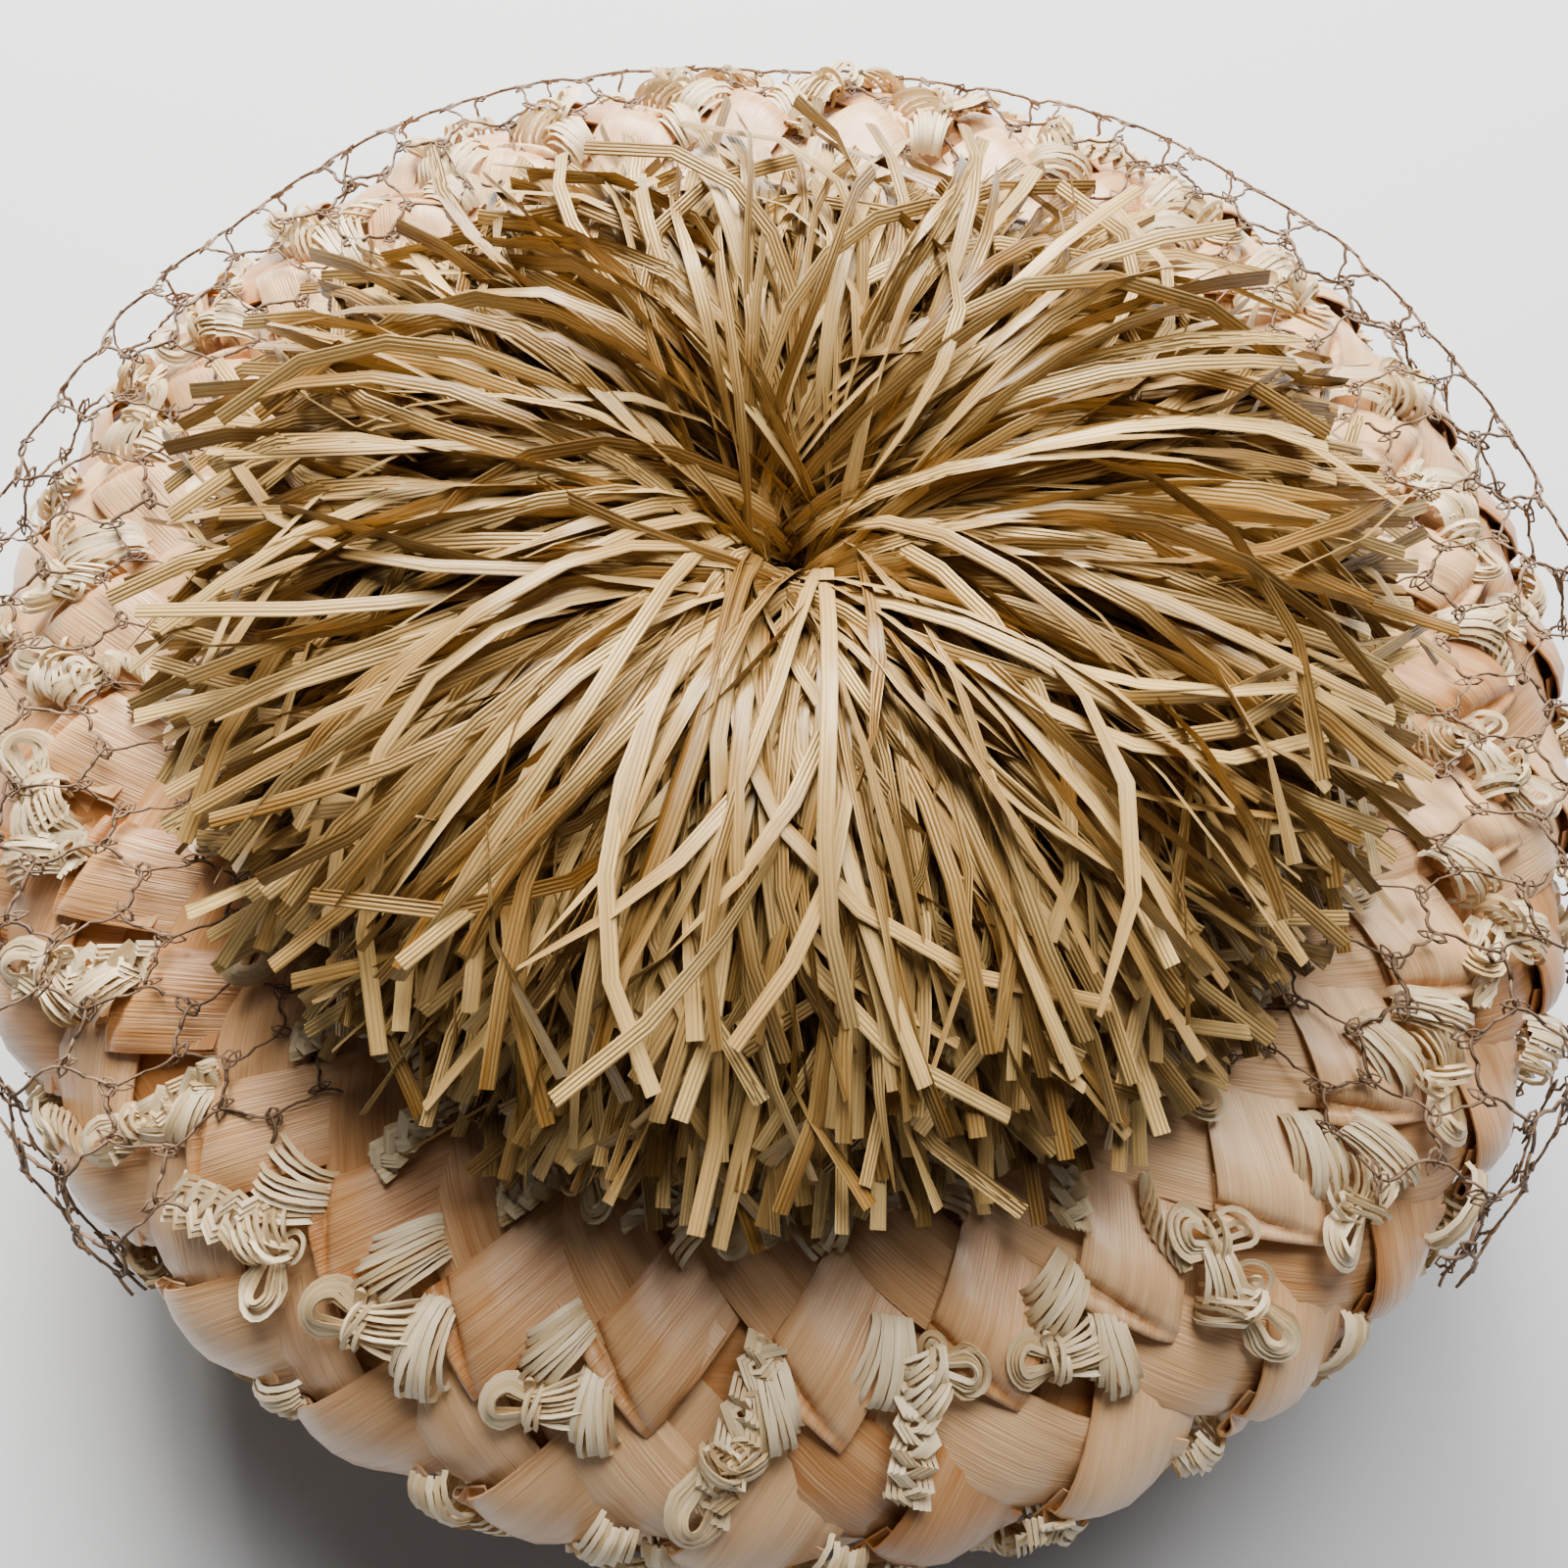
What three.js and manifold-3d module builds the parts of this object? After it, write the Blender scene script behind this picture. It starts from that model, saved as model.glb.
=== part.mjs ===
// A straw pillbox hat. The crown is a hollow shell of plaited straw, sewn in courses that overlap like
// shingles and end in pointed teeth. A rope of cream raffia runs along the teeth of each course. A big
// mop of flat straw ribbons is tied on the middle of the top, and a hexagonal veil net lies over the
// sides and back, held under the mop and open at the front.
// Millimetres, +Z up. The hat rests on its rim at z = 0, under the middle of its box, and the front,
// where the veil is open, faces -Y.
import * as THREE from "three";
import { mergeVertices } from "three/addons/utils/BufferGeometryUtils.js";
import Module from "manifold-3d";

// The crown's outline.
const RIM_R = 83;
const WIDEST_R = 90;
const WIDEST_Z = 58;
const TOP_Z = 77;
const SHOULDER_POWER = 3; // 2 is an ellipse, and more is a squarer shoulder
const WALL = 1;

// The plaited courses.
const TEETH = 30; // pointed folds round one course
const TOOTH_ROWS = 4;
const COURSE_PITCH = 20; // from one row of teeth to the next, along the surface
const TOOTH_DEPTH = 7;
const FIRST_TEETH_R = 79; // the row of teeth nearest the mop
const RELIEF = { tucked: 0.2, middle: 1.3, edge: 2.4 }; // how far the straw stands off the shell
const STEP_RUN = 0.7; // how far the edge slopes over from tooth to the next course
// Where the rings of the inner wall lie, as shares of the outline from the middle of the top.
const INNER_RINGS = [0.8, 0.66, 0.6, 0.54, 0.46, 0.2];

// The raffia that runs along the teeth.
const RAFFIA = { sides: 5, gap: 0.4, waist: 0.8, knot: 3, knotHigh: 1.4, offset: 1.6 };

// The mop of straw ribbons: a dome on a short neck, from its underside out and over to the dimple
// where the ribbons are tied.
const MOP_SIDES = 16;
const MOP_BREADTH = 1.04; // how much wider the mop is from side to side than from front to back
const MOP_NECK = { r: 16, gap: 0.5 };
const MOP_DOME = [
  { r: 48, z: 81 },
  { r: 56, z: 86 },
  { r: 54, z: 93 },
  { r: 46, z: 99 },
  { r: 31, z: 104 },
  { r: 14, z: 105 },
  { r: 0, z: 98 },
];
// Each row is a ring of locks: how many, where they leave the dome, where the longest ones end, how
// far they bow up in between, and how wide they are. Every second lock is shorter.
const LOCK_RINGS = [
  { count: 26, fromR: 42, fromZ: 86, toR: 66, toZ: 83.5, bow: 3, width: 12 },
  { count: 17, fromR: 34, fromZ: 96, toR: 64, toZ: 92, bow: 4, width: 13 },
  { count: 13, fromR: 12, fromZ: 102, toR: 52, toZ: 99.5, bow: 7, width: 14 },
];
const LOCK_STEPS = 3;
const LOCK_THICK = 3.2;
const LOCK_ROOT_WIDTH = 0.5; // as a share of the width at the tip
const SHORT_LOCK = 0.86; // as a share of a long one

// The veil: hexagonal gaps in columns round the crown and rows down it. It is open at the front
// between two angles, measured from -Y towards +X.
const VEIL = { columns: 22, rows: 5, thick: 0.9, strand: 2.1, gapStart: -38, gapEnd: 38 };
// How far the veil's inner face stands off the crown's outline, at arc lengths from the middle of
// the top.
const VEIL_OUTLINE = [
  { s: 58, off: 2 },
  { s: 80, off: 5.6 },
  { s: 100, off: 5.9 },
  { s: 118, off: 6 },
  { s: 136, off: 9 },
];
const VEIL_FLUTES = 9;
const VEIL_FLUTE_DEPTH = 2;

const TAU = 2 * Math.PI;
const degrees = (a) => (a * Math.PI) / 180;

// The crown's outline as a table of arc length, radius, height and outward normal, from the middle
// of the top to the rim.
function crownOutline(steps = 240) {
  const top = (t) => {
    const a = (Math.PI / 2) * t;
    const power = 2 / SHOULDER_POWER;
    return [
      WIDEST_R * Math.sin(a) ** power,
      WIDEST_Z + (TOP_Z - WIDEST_Z) * Math.max(Math.cos(a), 0) ** power,
    ];
  };
  const side = (t) => [
    RIM_R + (WIDEST_R - RIM_R) * Math.cos((Math.PI / 2) * t),
    WIDEST_Z * (1 - t),
  ];
  const points = [];
  for (let i = 0; i < steps; i++) points.push(top((i / steps) ** 1.6));
  for (let i = 0; i <= steps; i++) points.push(side(i / steps));
  let s = 0;
  return points.map(([r, z], i) => {
    const [r0, z0] = points[Math.max(i - 1, 0)];
    const [r1, z1] = points[Math.min(i + 1, points.length - 1)];
    s += Math.hypot(r - r0, z - z0);
    const run = Math.hypot(r1 - r0, z1 - z0);
    return { s, r, z, nr: (z0 - z1) / run, nz: (r1 - r0) / run };
  });
}

const OUTLINE = crownOutline();
const LENGTH = OUTLINE.at(-1).s;

// The point of the crown's outline at arc length s, moved off it by h along its normal.
function onCrown(s, h) {
  let i = OUTLINE.findIndex((p) => p.s >= s);
  if (i < 1) i = s <= 0 ? 1 : OUTLINE.length - 1;
  const a = OUTLINE[i - 1];
  const b = OUTLINE[i];
  const t = Math.min(Math.max((s - a.s) / (b.s - a.s || 1), 0), 1);
  const mix = (key) => a[key] + (b[key] - a[key]) * t;
  return { r: Math.max(mix("r") + mix("nr") * h, 0), z: mix("z") + mix("nz") * h };
}

const arcAtRadius = (r) => OUTLINE.find((p) => p.r >= r).s;
const around = (a, r, z) => [r * Math.cos(a), r * Math.sin(a), z];

// A closed surface from rings of points, each ring as long as the first, joined in a loop of rings.
function meshFromRings(rings, poleStart, poleEnd) {
  const sides = rings[0].length;
  const vertices = rings.flat();
  const faces = [];
  const at = (i, j) => i * sides + (j % sides);
  const loops = poleStart ? rings.length - 1 : rings.length;
  for (let i = 0; i < loops; i++) {
    const next = (i + 1) % rings.length;
    for (let j = 0; j < sides; j++) {
      faces.push([at(i, j), at(next, j), at(next, j + 1)]);
      faces.push([at(i, j), at(next, j + 1), at(i, j + 1)]);
    }
  }
  if (poleStart) {
    vertices.push(poleStart, poleEnd);
    for (let j = 0; j < sides; j++) {
      faces.push([vertices.length - 2, at(0, j), at(0, j + 1)]);
      faces.push([vertices.length - 1, at(rings.length - 1, j + 1), at(rings.length - 1, j)]);
    }
  }
  return geometryOf(vertices, faces);
}

function geometryOf(vertices, faces) {
  const geometry = new THREE.BufferGeometry();
  const position = new THREE.Float32BufferAttribute(vertices.flat(), 3);
  geometry.setAttribute("position", position);
  geometry.setIndex(faces.flat());
  geometry.computeVertexNormals();
  return geometry;
}

// The rows of teeth, as arc lengths, from the one nearest the mop down the side.
const FIRST_TEETH = arcAtRadius(FIRST_TEETH_R);
const toothRows = Array.from({ length: TOOTH_ROWS }, (_, i) => FIRST_TEETH + i * COURSE_PITCH);

// How far down the surface column j of tooth row i reaches: tips and valleys take turns, and each
// row's tips lie over the valleys of the row before.
const toothReach = (i, j) => ((i + j) % 2 ? TOOTH_DEPTH / 2 : -TOOTH_DEPTH / 2);

function crown() {
  const columns = 2 * TEETH;
  const angle = (j) => (TAU * j) / columns;
  const ring = (sOf, h) =>
    Array.from({ length: columns }, (_, j) => {
      const { r, z } = onCrown(sOf(j), h);
      return around(angle(j), r, z);
    });
  const rimRing = (r) => Array.from({ length: columns }, (_, j) => around(angle(j), r, 0));
  const rings = [
    ring(() => FIRST_TEETH * 0.3, RELIEF.middle),
    ring(() => FIRST_TEETH * 0.65, RELIEF.middle),
  ];
  toothRows.forEach((s, i) => {
    rings.push(ring((j) => s + toothReach(i, j), RELIEF.edge));
    rings.push(ring((j) => s + toothReach(i, j) + STEP_RUN, RELIEF.tucked));
    const next = Math.min(s + COURSE_PITCH, LENGTH);
    rings.push(ring((j) => (s + toothReach(i, j) + next) / 2, RELIEF.middle));
  });
  rings.push(rimRing(RIM_R + RELIEF.middle), rimRing(RIM_R - WALL));
  for (const share of INNER_RINGS) rings.push(ring(() => LENGTH * share, -WALL));
  return meshFromRings(rings, [0, 0, TOP_Z + RELIEF.middle], [0, 0, TOP_Z - WALL]);
}

// The raffia along tooth row i: a rope that swells to a knot in each valley between two teeth and
// thins where it passes a tip. It lies on the next course, a small gap below the edge.
function raffiaRope(i) {
  const stations = 2 * TEETH;
  const rings = [];
  for (let j = 0; j < stations; j++) {
    const isKnot = toothReach(i, j) < 0;
    const wide = isKnot ? RAFFIA.knot : RAFFIA.waist;
    const high = isKnot ? RAFFIA.knotHigh : RAFFIA.waist;
    const s = toothRows[i] + toothReach(i, j) + STEP_RUN + RAFFIA.offset + wide * 0.9;
    const lift = RELIEF.middle + RAFFIA.gap + high;
    const a = (TAU * j) / stations;
    rings.push(
      Array.from({ length: RAFFIA.sides }, (_, k) => {
        const b = (TAU * k) / RAFFIA.sides;
        const { r, z } = onCrown(s + wide * Math.cos(b), lift + high * Math.sin(b));
        return around(a, r, z);
      }),
    );
  }
  return meshFromRings(rings);
}

const wasm = await Module();
wasm.setup();

function solidOf(geometry) {
  const bare = geometry.clone();
  bare.deleteAttribute("normal");
  bare.deleteAttribute("uv");
  const merged = mergeVertices(bare, 1e-4);
  return new wasm.Manifold(
    new wasm.Mesh({
      numProp: 3,
      vertProperties: merged.attributes.position.array,
      triVerts: new Uint32Array(merged.index.array),
    }),
  );
}

function geometryFromSolid(solid) {
  const mesh = solid.getMesh();
  const geometry = new THREE.BufferGeometry();
  const position = new Float32Array(mesh.numVert * 3);
  for (let i = 0; i < mesh.numVert; i++) {
    const from = i * mesh.numProp;
    position.set(mesh.vertProperties.subarray(from, from + 3), i * 3);
  }
  geometry.setAttribute("position", new THREE.BufferAttribute(position, 3));
  geometry.setIndex(new THREE.BufferAttribute(mesh.triVerts, 1));
  geometry.computeVertexNormals();
  return geometry;
}

// One lock of ribbons: a flat strip that leaves the dome, bows up and widens to a cut end.
function lock(ring, index) {
  const a = (TAU * index) / ring.count;
  const length = index % 2 ? SHORT_LOCK : 1;
  const rings = [];
  for (let i = 0; i <= LOCK_STEPS; i++) {
    const t = (length * i) / LOCK_STEPS;
    const out = ring.fromR + (ring.toR - ring.fromR) * t;
    const up = ring.fromZ + (ring.toZ - ring.fromZ) * t + 4 * ring.bow * t * (1 - t);
    const half = (ring.width / 2) * (LOCK_ROOT_WIDTH + (1 - LOCK_ROOT_WIDTH) * t);
    const corner = (side, rise) => [
      out * Math.cos(a) - side * half * Math.sin(a),
      out * Math.sin(a) + side * half * Math.cos(a),
      up + (rise * LOCK_THICK) / 2,
    ];
    rings.push([corner(-1, -1), corner(-1, 1), corner(1, 1), corner(1, -1)]);
  }
  const middle = (points) =>
    points.reduce((sum, p) => sum.map((v, k) => v + p[k] / points.length), [0, 0, 0]);
  return meshFromRings(rings, middle(rings[0]), middle(rings.at(-1)));
}

// The dome on its neck, with the rings of locks fused to it.
function mop() {
  const bottom = TOP_Z + RELIEF.middle + MOP_NECK.gap;
  const outline = [
    new THREE.Vector2(0, bottom),
    new THREE.Vector2(MOP_NECK.r, bottom),
    new THREE.Vector2(MOP_NECK.r, MOP_DOME[0].z),
    ...MOP_DOME.map(({ r, z }) => new THREE.Vector2(r, z)),
  ];
  let solid = solidOf(new THREE.LatheGeometry(outline, MOP_SIDES).rotateX(Math.PI / 2));
  for (const ring of LOCK_RINGS) {
    for (let index = 0; index < ring.count; index++) {
      solid = solid.add(solidOf(lock(ring, index)));
    }
  }
  return geometryFromSolid(solid).scale(MOP_BREADTH, 1, 1);
}

// A point of the veil: column and row run over the sheet, and depth is measured into it. The sheet
// stands out in soft flutes towards its free edge.
function onVeil(column, row, depth) {
  const { columns, rows, thick, gapStart, gapEnd } = VEIL;
  const sweep = 360 - (gapEnd - gapStart);
  const a = degrees(gapEnd - 90 + (sweep * (column + 0.25)) / (columns + 0.5));
  const t = Math.min(Math.max(row / rows, 0), 1);
  const s = VEIL_OUTLINE[0].s + (VEIL_OUTLINE.at(-1).s - VEIL_OUTLINE[0].s) * t;
  const next = Math.max(VEIL_OUTLINE.findIndex((p) => p.s >= s), 1);
  const [from, to] = [VEIL_OUTLINE[next - 1], VEIL_OUTLINE[next]];
  const off = from.off + ((to.off - from.off) * (s - from.s)) / (to.s - from.s);
  const flute = VEIL_FLUTE_DEPTH * t * t * (0.5 + 0.5 * Math.sin(VEIL_FLUTES * a));
  const { r, z } = onCrown(s, off + flute + thick - depth);
  return around(a, r, z);
}

// A sheet of hexagonal gaps: each cell gives the strips between its outline and its gap, on both
// faces, and the walls of the gap, and every outline edge that no other cell shares gets a wall too.
function veil() {
  const { columns, rows, thick, strand } = VEIL;
  const rowHigh = rows / (rows * 0.75 + 0.25);
  const cellWide = 21;
  const corners = [
    [0, -0.5],
    [-0.5, -0.25],
    [-0.5, 0.25],
    [0, 0.5],
    [0.5, 0.25],
    [0.5, -0.25],
  ];
  const vertices = [];
  const known = new Map();
  const vertex = (column, row, depth) => {
    const key = [column, row, depth].map((v) => v.toFixed(4)).join();
    if (!known.has(key)) {
      known.set(key, vertices.length);
      vertices.push(onVeil(column, row, depth));
    }
    return known.get(key);
  };
  const faces = [];
  const quad = (a, b, c, d) => faces.push([a, b, c], [a, c, d]);
  const edges = new Map();
  const inset = 1 - strand / cellWide;
  for (let j = 0; j < rows; j++) {
    for (let i = 0; i < columns; i++) {
      const column = i + 0.5 + (j % 2 ? 0.25 : -0.25);
      const row = rowHigh * (0.75 * j + 0.5);
      const place = (share, depth) =>
        corners.map(([x, y]) => vertex(column + x * share, row + y * rowHigh * share, depth));
      const [outer, outerGap] = [place(1, 0), place(inset, 0)];
      const [inner, innerGap] = [place(1, thick), place(inset, thick)];
      for (let k = 0; k < 6; k++) {
        const n = (k + 1) % 6;
        quad(outer[k], outer[n], outerGap[n], outerGap[k]);
        quad(inner[n], inner[k], innerGap[k], innerGap[n]);
        quad(outerGap[k], outerGap[n], innerGap[n], innerGap[k]);
        const key = [outer[k], outer[n]].sort((a, b) => a - b).join();
        if (edges.has(key)) edges.delete(key);
        else edges.set(key, [outer[n], outer[k], inner[k], inner[n]]);
      }
    }
  }
  for (const wall of edges.values()) quad(...wall);
  return geometryOf(vertices, faces);
}

const plaitedStraw = new THREE.MeshStandardMaterial({ color: 0xdcb893, roughness: 0.42, metalness: 0 });
const creamRaffia = new THREE.MeshStandardMaterial({ color: 0xd8cbae, roughness: 0.6, metalness: 0 });
const strawRibbon = new THREE.MeshStandardMaterial({ color: 0xb79a62, roughness: 0.38, metalness: 0 });
const veilThread = new THREE.MeshStandardMaterial({ color: 0x8a7362, roughness: 0.7, metalness: 0 });

const hat = new THREE.Group();
hat.name = "pillbox_hat";

function addPiece(name, geometry, material) {
  const mesh = new THREE.Mesh(geometry, material);
  mesh.name = name;
  hat.add(mesh);
}

addPiece("crown", crown(), plaitedStraw);
toothRows.forEach((_, i) => addPiece(`raffia_rope_${i + 1}`, raffiaRope(i), creamRaffia));
addPiece("straw_mop", mop(), strawRibbon);
addPiece("veil", veil(), veilThread);

// The veil stands out behind, so the crown moves forward until the box is centred on the origin.
hat.position.y = -new THREE.Box3().setFromObject(hat).getCenter(new THREE.Vector3()).y;

export default hat;
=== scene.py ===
import math
import random

import bpy
from mathutils import Matrix, Vector


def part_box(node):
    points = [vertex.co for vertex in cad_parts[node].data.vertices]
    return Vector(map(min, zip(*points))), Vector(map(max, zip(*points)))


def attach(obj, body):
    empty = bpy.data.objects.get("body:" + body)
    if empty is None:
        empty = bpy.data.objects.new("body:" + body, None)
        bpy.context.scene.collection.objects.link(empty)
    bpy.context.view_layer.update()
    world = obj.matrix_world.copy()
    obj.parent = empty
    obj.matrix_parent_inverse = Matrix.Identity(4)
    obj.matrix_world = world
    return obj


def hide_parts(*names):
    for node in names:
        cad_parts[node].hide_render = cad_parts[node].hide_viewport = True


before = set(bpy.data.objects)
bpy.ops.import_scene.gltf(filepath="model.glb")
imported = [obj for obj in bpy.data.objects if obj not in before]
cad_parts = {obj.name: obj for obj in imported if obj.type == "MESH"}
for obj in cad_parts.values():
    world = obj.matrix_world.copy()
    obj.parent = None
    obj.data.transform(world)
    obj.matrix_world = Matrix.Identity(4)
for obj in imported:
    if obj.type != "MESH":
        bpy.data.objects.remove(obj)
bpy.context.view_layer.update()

MM = 0.001
TAU = 2 * math.pi

# The kinds of node that are used most.
VECTOR = "ShaderNodeVectorMath"
SPLIT = "ShaderNodeSeparateXYZ"
JOIN = "ShaderNodeCombineXYZ"
MAP = "ShaderNodeMapRange"
NOISE = "ShaderNodeTexNoise"
RANDOM = "FunctionNodeRandomValue"
STORE = "GeometryNodeStoreNamedAttribute"
POSITION = "GeometryNodeInputPosition"
SET_POSITION = "GeometryNodeSetPosition"
REALIZE = "GeometryNodeRealizeInstances"
OBJECT = "GeometryNodeObjectInfo"
GROUP = "GeometryNodeGroup"

# The crown's outline, as the frame's own solid has it.
RIM_R = 83 * MM
WIDEST_R = 90 * MM
WIDEST_Z = 58 * MM
TOP_Z = 77 * MM
SHOULDER_POWER = 3
OUTLINE_STEPS = 120
CROWDING = 1.6  # how closely the outline's points lie in the middle of the top
WALL = 1 * MM

# The crown stands on the frame, a little in front of the middle of the hat's box.
CROWN_LOW, CROWN_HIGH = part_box("crown")
AXIS = Vector(((CROWN_LOW[0] + CROWN_HIGH[0]) / 2, (CROWN_LOW[1] + CROWN_HIGH[1]) / 2, 0))

# The plait. Each tooth is the folded end of one strip.
TEETH = 30
TOOTH_STEP = TAU * WIDEST_R / TEETH
COURSES = 5
COURSE_PITCH = 20 * MM
FIRST_TEETH_ARC = 82.5 * MM  # the tips of the first row of teeth beyond the mop
LAST_TIPS_UP = 2.1 * MM  # how far the last teeth end above the rim
STRIP_WIDTH = 12 * MM
UNDER_STRIP_WIDTH = 11 * MM
STRIP_THICK = 0.25 * MM
STRIP_SLOPE = math.radians(50)


def linear(hex_colour):
    """The linear colour of an sRGB hex value such as "d9b48c"."""
    parts = [int(hex_colour[i : i + 2], 16) / 255 for i in (0, 2, 4)]
    return [c / 12.92 if c < 0.04045 else ((c + 0.055) / 1.055) ** 2.4 for c in parts] + [1]


def add(tree, kind, inputs=(), **settings):
    """A node of that kind in the tree, or a math node where kind is an operation in capitals. inputs
    gives a value, a node or a socket for each input, in order or by name."""
    if kind.isupper():
        kind, settings = "ShaderNodeMath", {"operation": kind}
    made = tree.nodes.new(kind)
    for name, value in settings.items():
        setattr(made, name, value)
    for key, value in inputs.items() if isinstance(inputs, dict) else enumerate(inputs):
        if isinstance(value, bpy.types.Node):
            value = value.outputs[0]
        if isinstance(value, bpy.types.NodeSocket):
            tree.links.new(value, made.inputs[key])
        else:
            made.inputs[key].default_value = value
    return made


def link(obj):
    bpy.context.scene.collection.objects.link(obj)
    return obj


def new_tree(name, inputs):
    """A Geometry Nodes tree with named inputs. A number is an input's default, and a word is the kind
    of thing that it takes."""
    tree = bpy.data.node_groups.new(name, "GeometryNodeTree")
    for label, value in inputs.items():
        kind = value if isinstance(value, str) else type(value).__name__.capitalize()
        socket = tree.interface.new_socket(label, in_out="INPUT", socket_type="NodeSocket" + kind)
        if kind != value:
            socket.default_value = value
    tree.interface.new_socket("Geometry", in_out="OUTPUT", socket_type="NodeSocketGeometry")
    return tree, tree.nodes.new("NodeGroupInput").outputs


def end_tree(tree, geometry, material):
    """Closes a tree: what it has placed becomes a real mesh and gets its material."""
    real = add(tree, REALIZE, {"Geometry": geometry})
    dressed = add(tree, "GeometryNodeSetMaterial", {"Geometry": real, "Material": material})
    add(tree, "NodeGroupOutput", {"Geometry": dressed})


SHARP_ANGLE = math.radians(50)


def sharpen(tree, mesh):
    """Keeps the edges of a thin strip sharp, so that it doesn't shade as a round stick."""
    angle = add(tree, "GeometryNodeInputMeshEdgeAngle").outputs["Unsigned Angle"]
    keen = add(tree, "GREATER_THAN", (angle, SHARP_ANGLE))
    return add(
        tree, "GeometryNodeSetShadeSmooth", {"Geometry": mesh, "Selection": keen, "Shade Smooth": False},
        domain="EDGE",
    )


def place_shapes(tree, points, collection, more):
    """Puts one of the collection's shapes on each point. more gives the other inputs."""
    shapes = add(
        tree, "GeometryNodeCollectionInfo",
        {"Collection": collection, "Separate Children": True, "Reset Children": True},
    )
    return add(
        tree, "GeometryNodeInstanceOnPoints",
        {"Points": points, "Instance": shapes, "Pick Instance": True, **more},
    )


def sweep(tree, curves, section):
    """Sweeps a section along the curves, and keeps how far across it each point lies."""
    section = add(tree, OBJECT, {"Object": section}).outputs["Geometry"]
    place = add(tree, SPLIT, (add(tree, POSITION),)).outputs["X"]
    edged = add(tree, STORE, {"Geometry": section, "Name": "across", "Value": place})
    inputs = {"Curve": curves, "Profile Curve": edged, "Fill Caps": True}
    return sharpen(tree, add(tree, "GeometryNodeCurveToMesh", inputs))


def give_tone(tree, geometry, seed, domain):
    """Gives each instance or curve a tone of its own."""
    tone = add(tree, RANDOM, {"Seed": seed}).outputs[1]
    return add(tree, STORE, {"Geometry": geometry, "Name": "tone", "Value": tone}, domain=domain)


def ripple(tree, per_metre, size):
    """How soft waves push each point, by up to half this size each way."""
    waves = add(tree, NOISE, {"Scale": per_metre, "Detail": 2.0}).outputs["Color"]
    centred = add(tree, VECTOR, (waves, (0.5, 0.5, 0.5)), operation="SUBTRACT")
    return add(tree, VECTOR, {0: centred, "Scale": size}, operation="SCALE")


def swing(tree, angle, length, right=0.0, ahead=0.0):
    """Goes this length at this angle, where 0 is straight ahead and a quarter turn is to the right.
    right and ahead say where it starts, and the two results say where it ends."""
    sine = add(tree, "SINE", (angle,))
    cosine = add(tree, "COSINE", (angle,))
    right = add(tree, "MULTIPLY_ADD", (length, sine, right))
    return right, add(tree, "MULTIPLY_ADD", (length, cosine, ahead))


def grow(name, tree, values):
    """Runs a tree with these values, given by input name, and keeps its result as a plain mesh."""
    host = link(bpy.data.objects.new(name, bpy.data.meshes.new(name)))
    modifier = host.modifiers.new("grow", "NODES")
    modifier.node_group = tree
    for item in tree.interface.items_tree:
        if item.in_out == "INPUT" and item.name in values:
            modifier[item.identifier] = values[item.name]
    bpy.context.view_layer.update()
    depsgraph = bpy.context.evaluated_depsgraph_get()
    mesh = bpy.data.meshes.new_from_object(host.evaluated_get(depsgraph))
    host.modifiers.remove(modifier)
    host.data = mesh
    mesh.name = name
    return host


def finish_piece(obj, slot, *nodes):
    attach(obj, "root")
    if nodes:
        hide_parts(*nodes)


def smooth_mesh(name, vertices, faces, **attributes):
    mesh = bpy.data.meshes.new(name)
    mesh.from_pydata(vertices, [], faces)
    for key, values in attributes.items():
        mesh.attributes.new(key, "FLOAT", "POINT").data.foreach_set("value", values)
    mesh.polygons.foreach_set("use_smooth", [True] * len(mesh.polygons))
    mesh.update()
    return mesh


def helper_curve(name, splines, cyclic=False):
    """A hidden curve object made of poly splines, for a tree to read."""
    data = bpy.data.curves.new(name, "CURVE")
    data.dimensions = "3D"
    for points in splines:
        spline = data.splines.new("POLY")
        spline.points.add(len(points) - 1)
        spline.use_cyclic_u = cyclic
        for target, point in zip(spline.points, points):
            target.co = (*point, 1)
    return bpy.data.objects.new(name, data)


def helper_collection(name, objects):
    collection = bpy.data.collections.new(name)
    for obj in objects:
        collection.objects.link(obj)
    return collection


def crown_outline():
    """The crown's outline from the middle of the top to the rim, as (radius, height)."""
    power = 2 / SHOULDER_POWER
    points = []
    for i in range(OUTLINE_STEPS):
        a = math.pi / 2 * (i / OUTLINE_STEPS) ** CROWDING
        r = WIDEST_R * math.sin(a) ** power
        points.append((r, WIDEST_Z + (TOP_Z - WIDEST_Z) * math.cos(a) ** power))
    for i in range(OUTLINE_STEPS + 1):
        t = i / OUTLINE_STEPS
        r = RIM_R + (WIDEST_R - RIM_R) * math.cos(math.pi / 2 * t)
        points.append((r, WIDEST_Z * (1 - t)))
    return points


OUTLINE = crown_outline()
CROWN_ARC = sum(math.hypot(r1 - r0, z1 - z0) for (r0, z0), (r1, z1) in zip(OUTLINE, OUTLINE[1:]))
OUTLINE_GUIDE = helper_curve("outline_guide", [[(r, 0, z) for r, z in OUTLINE]])


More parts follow.
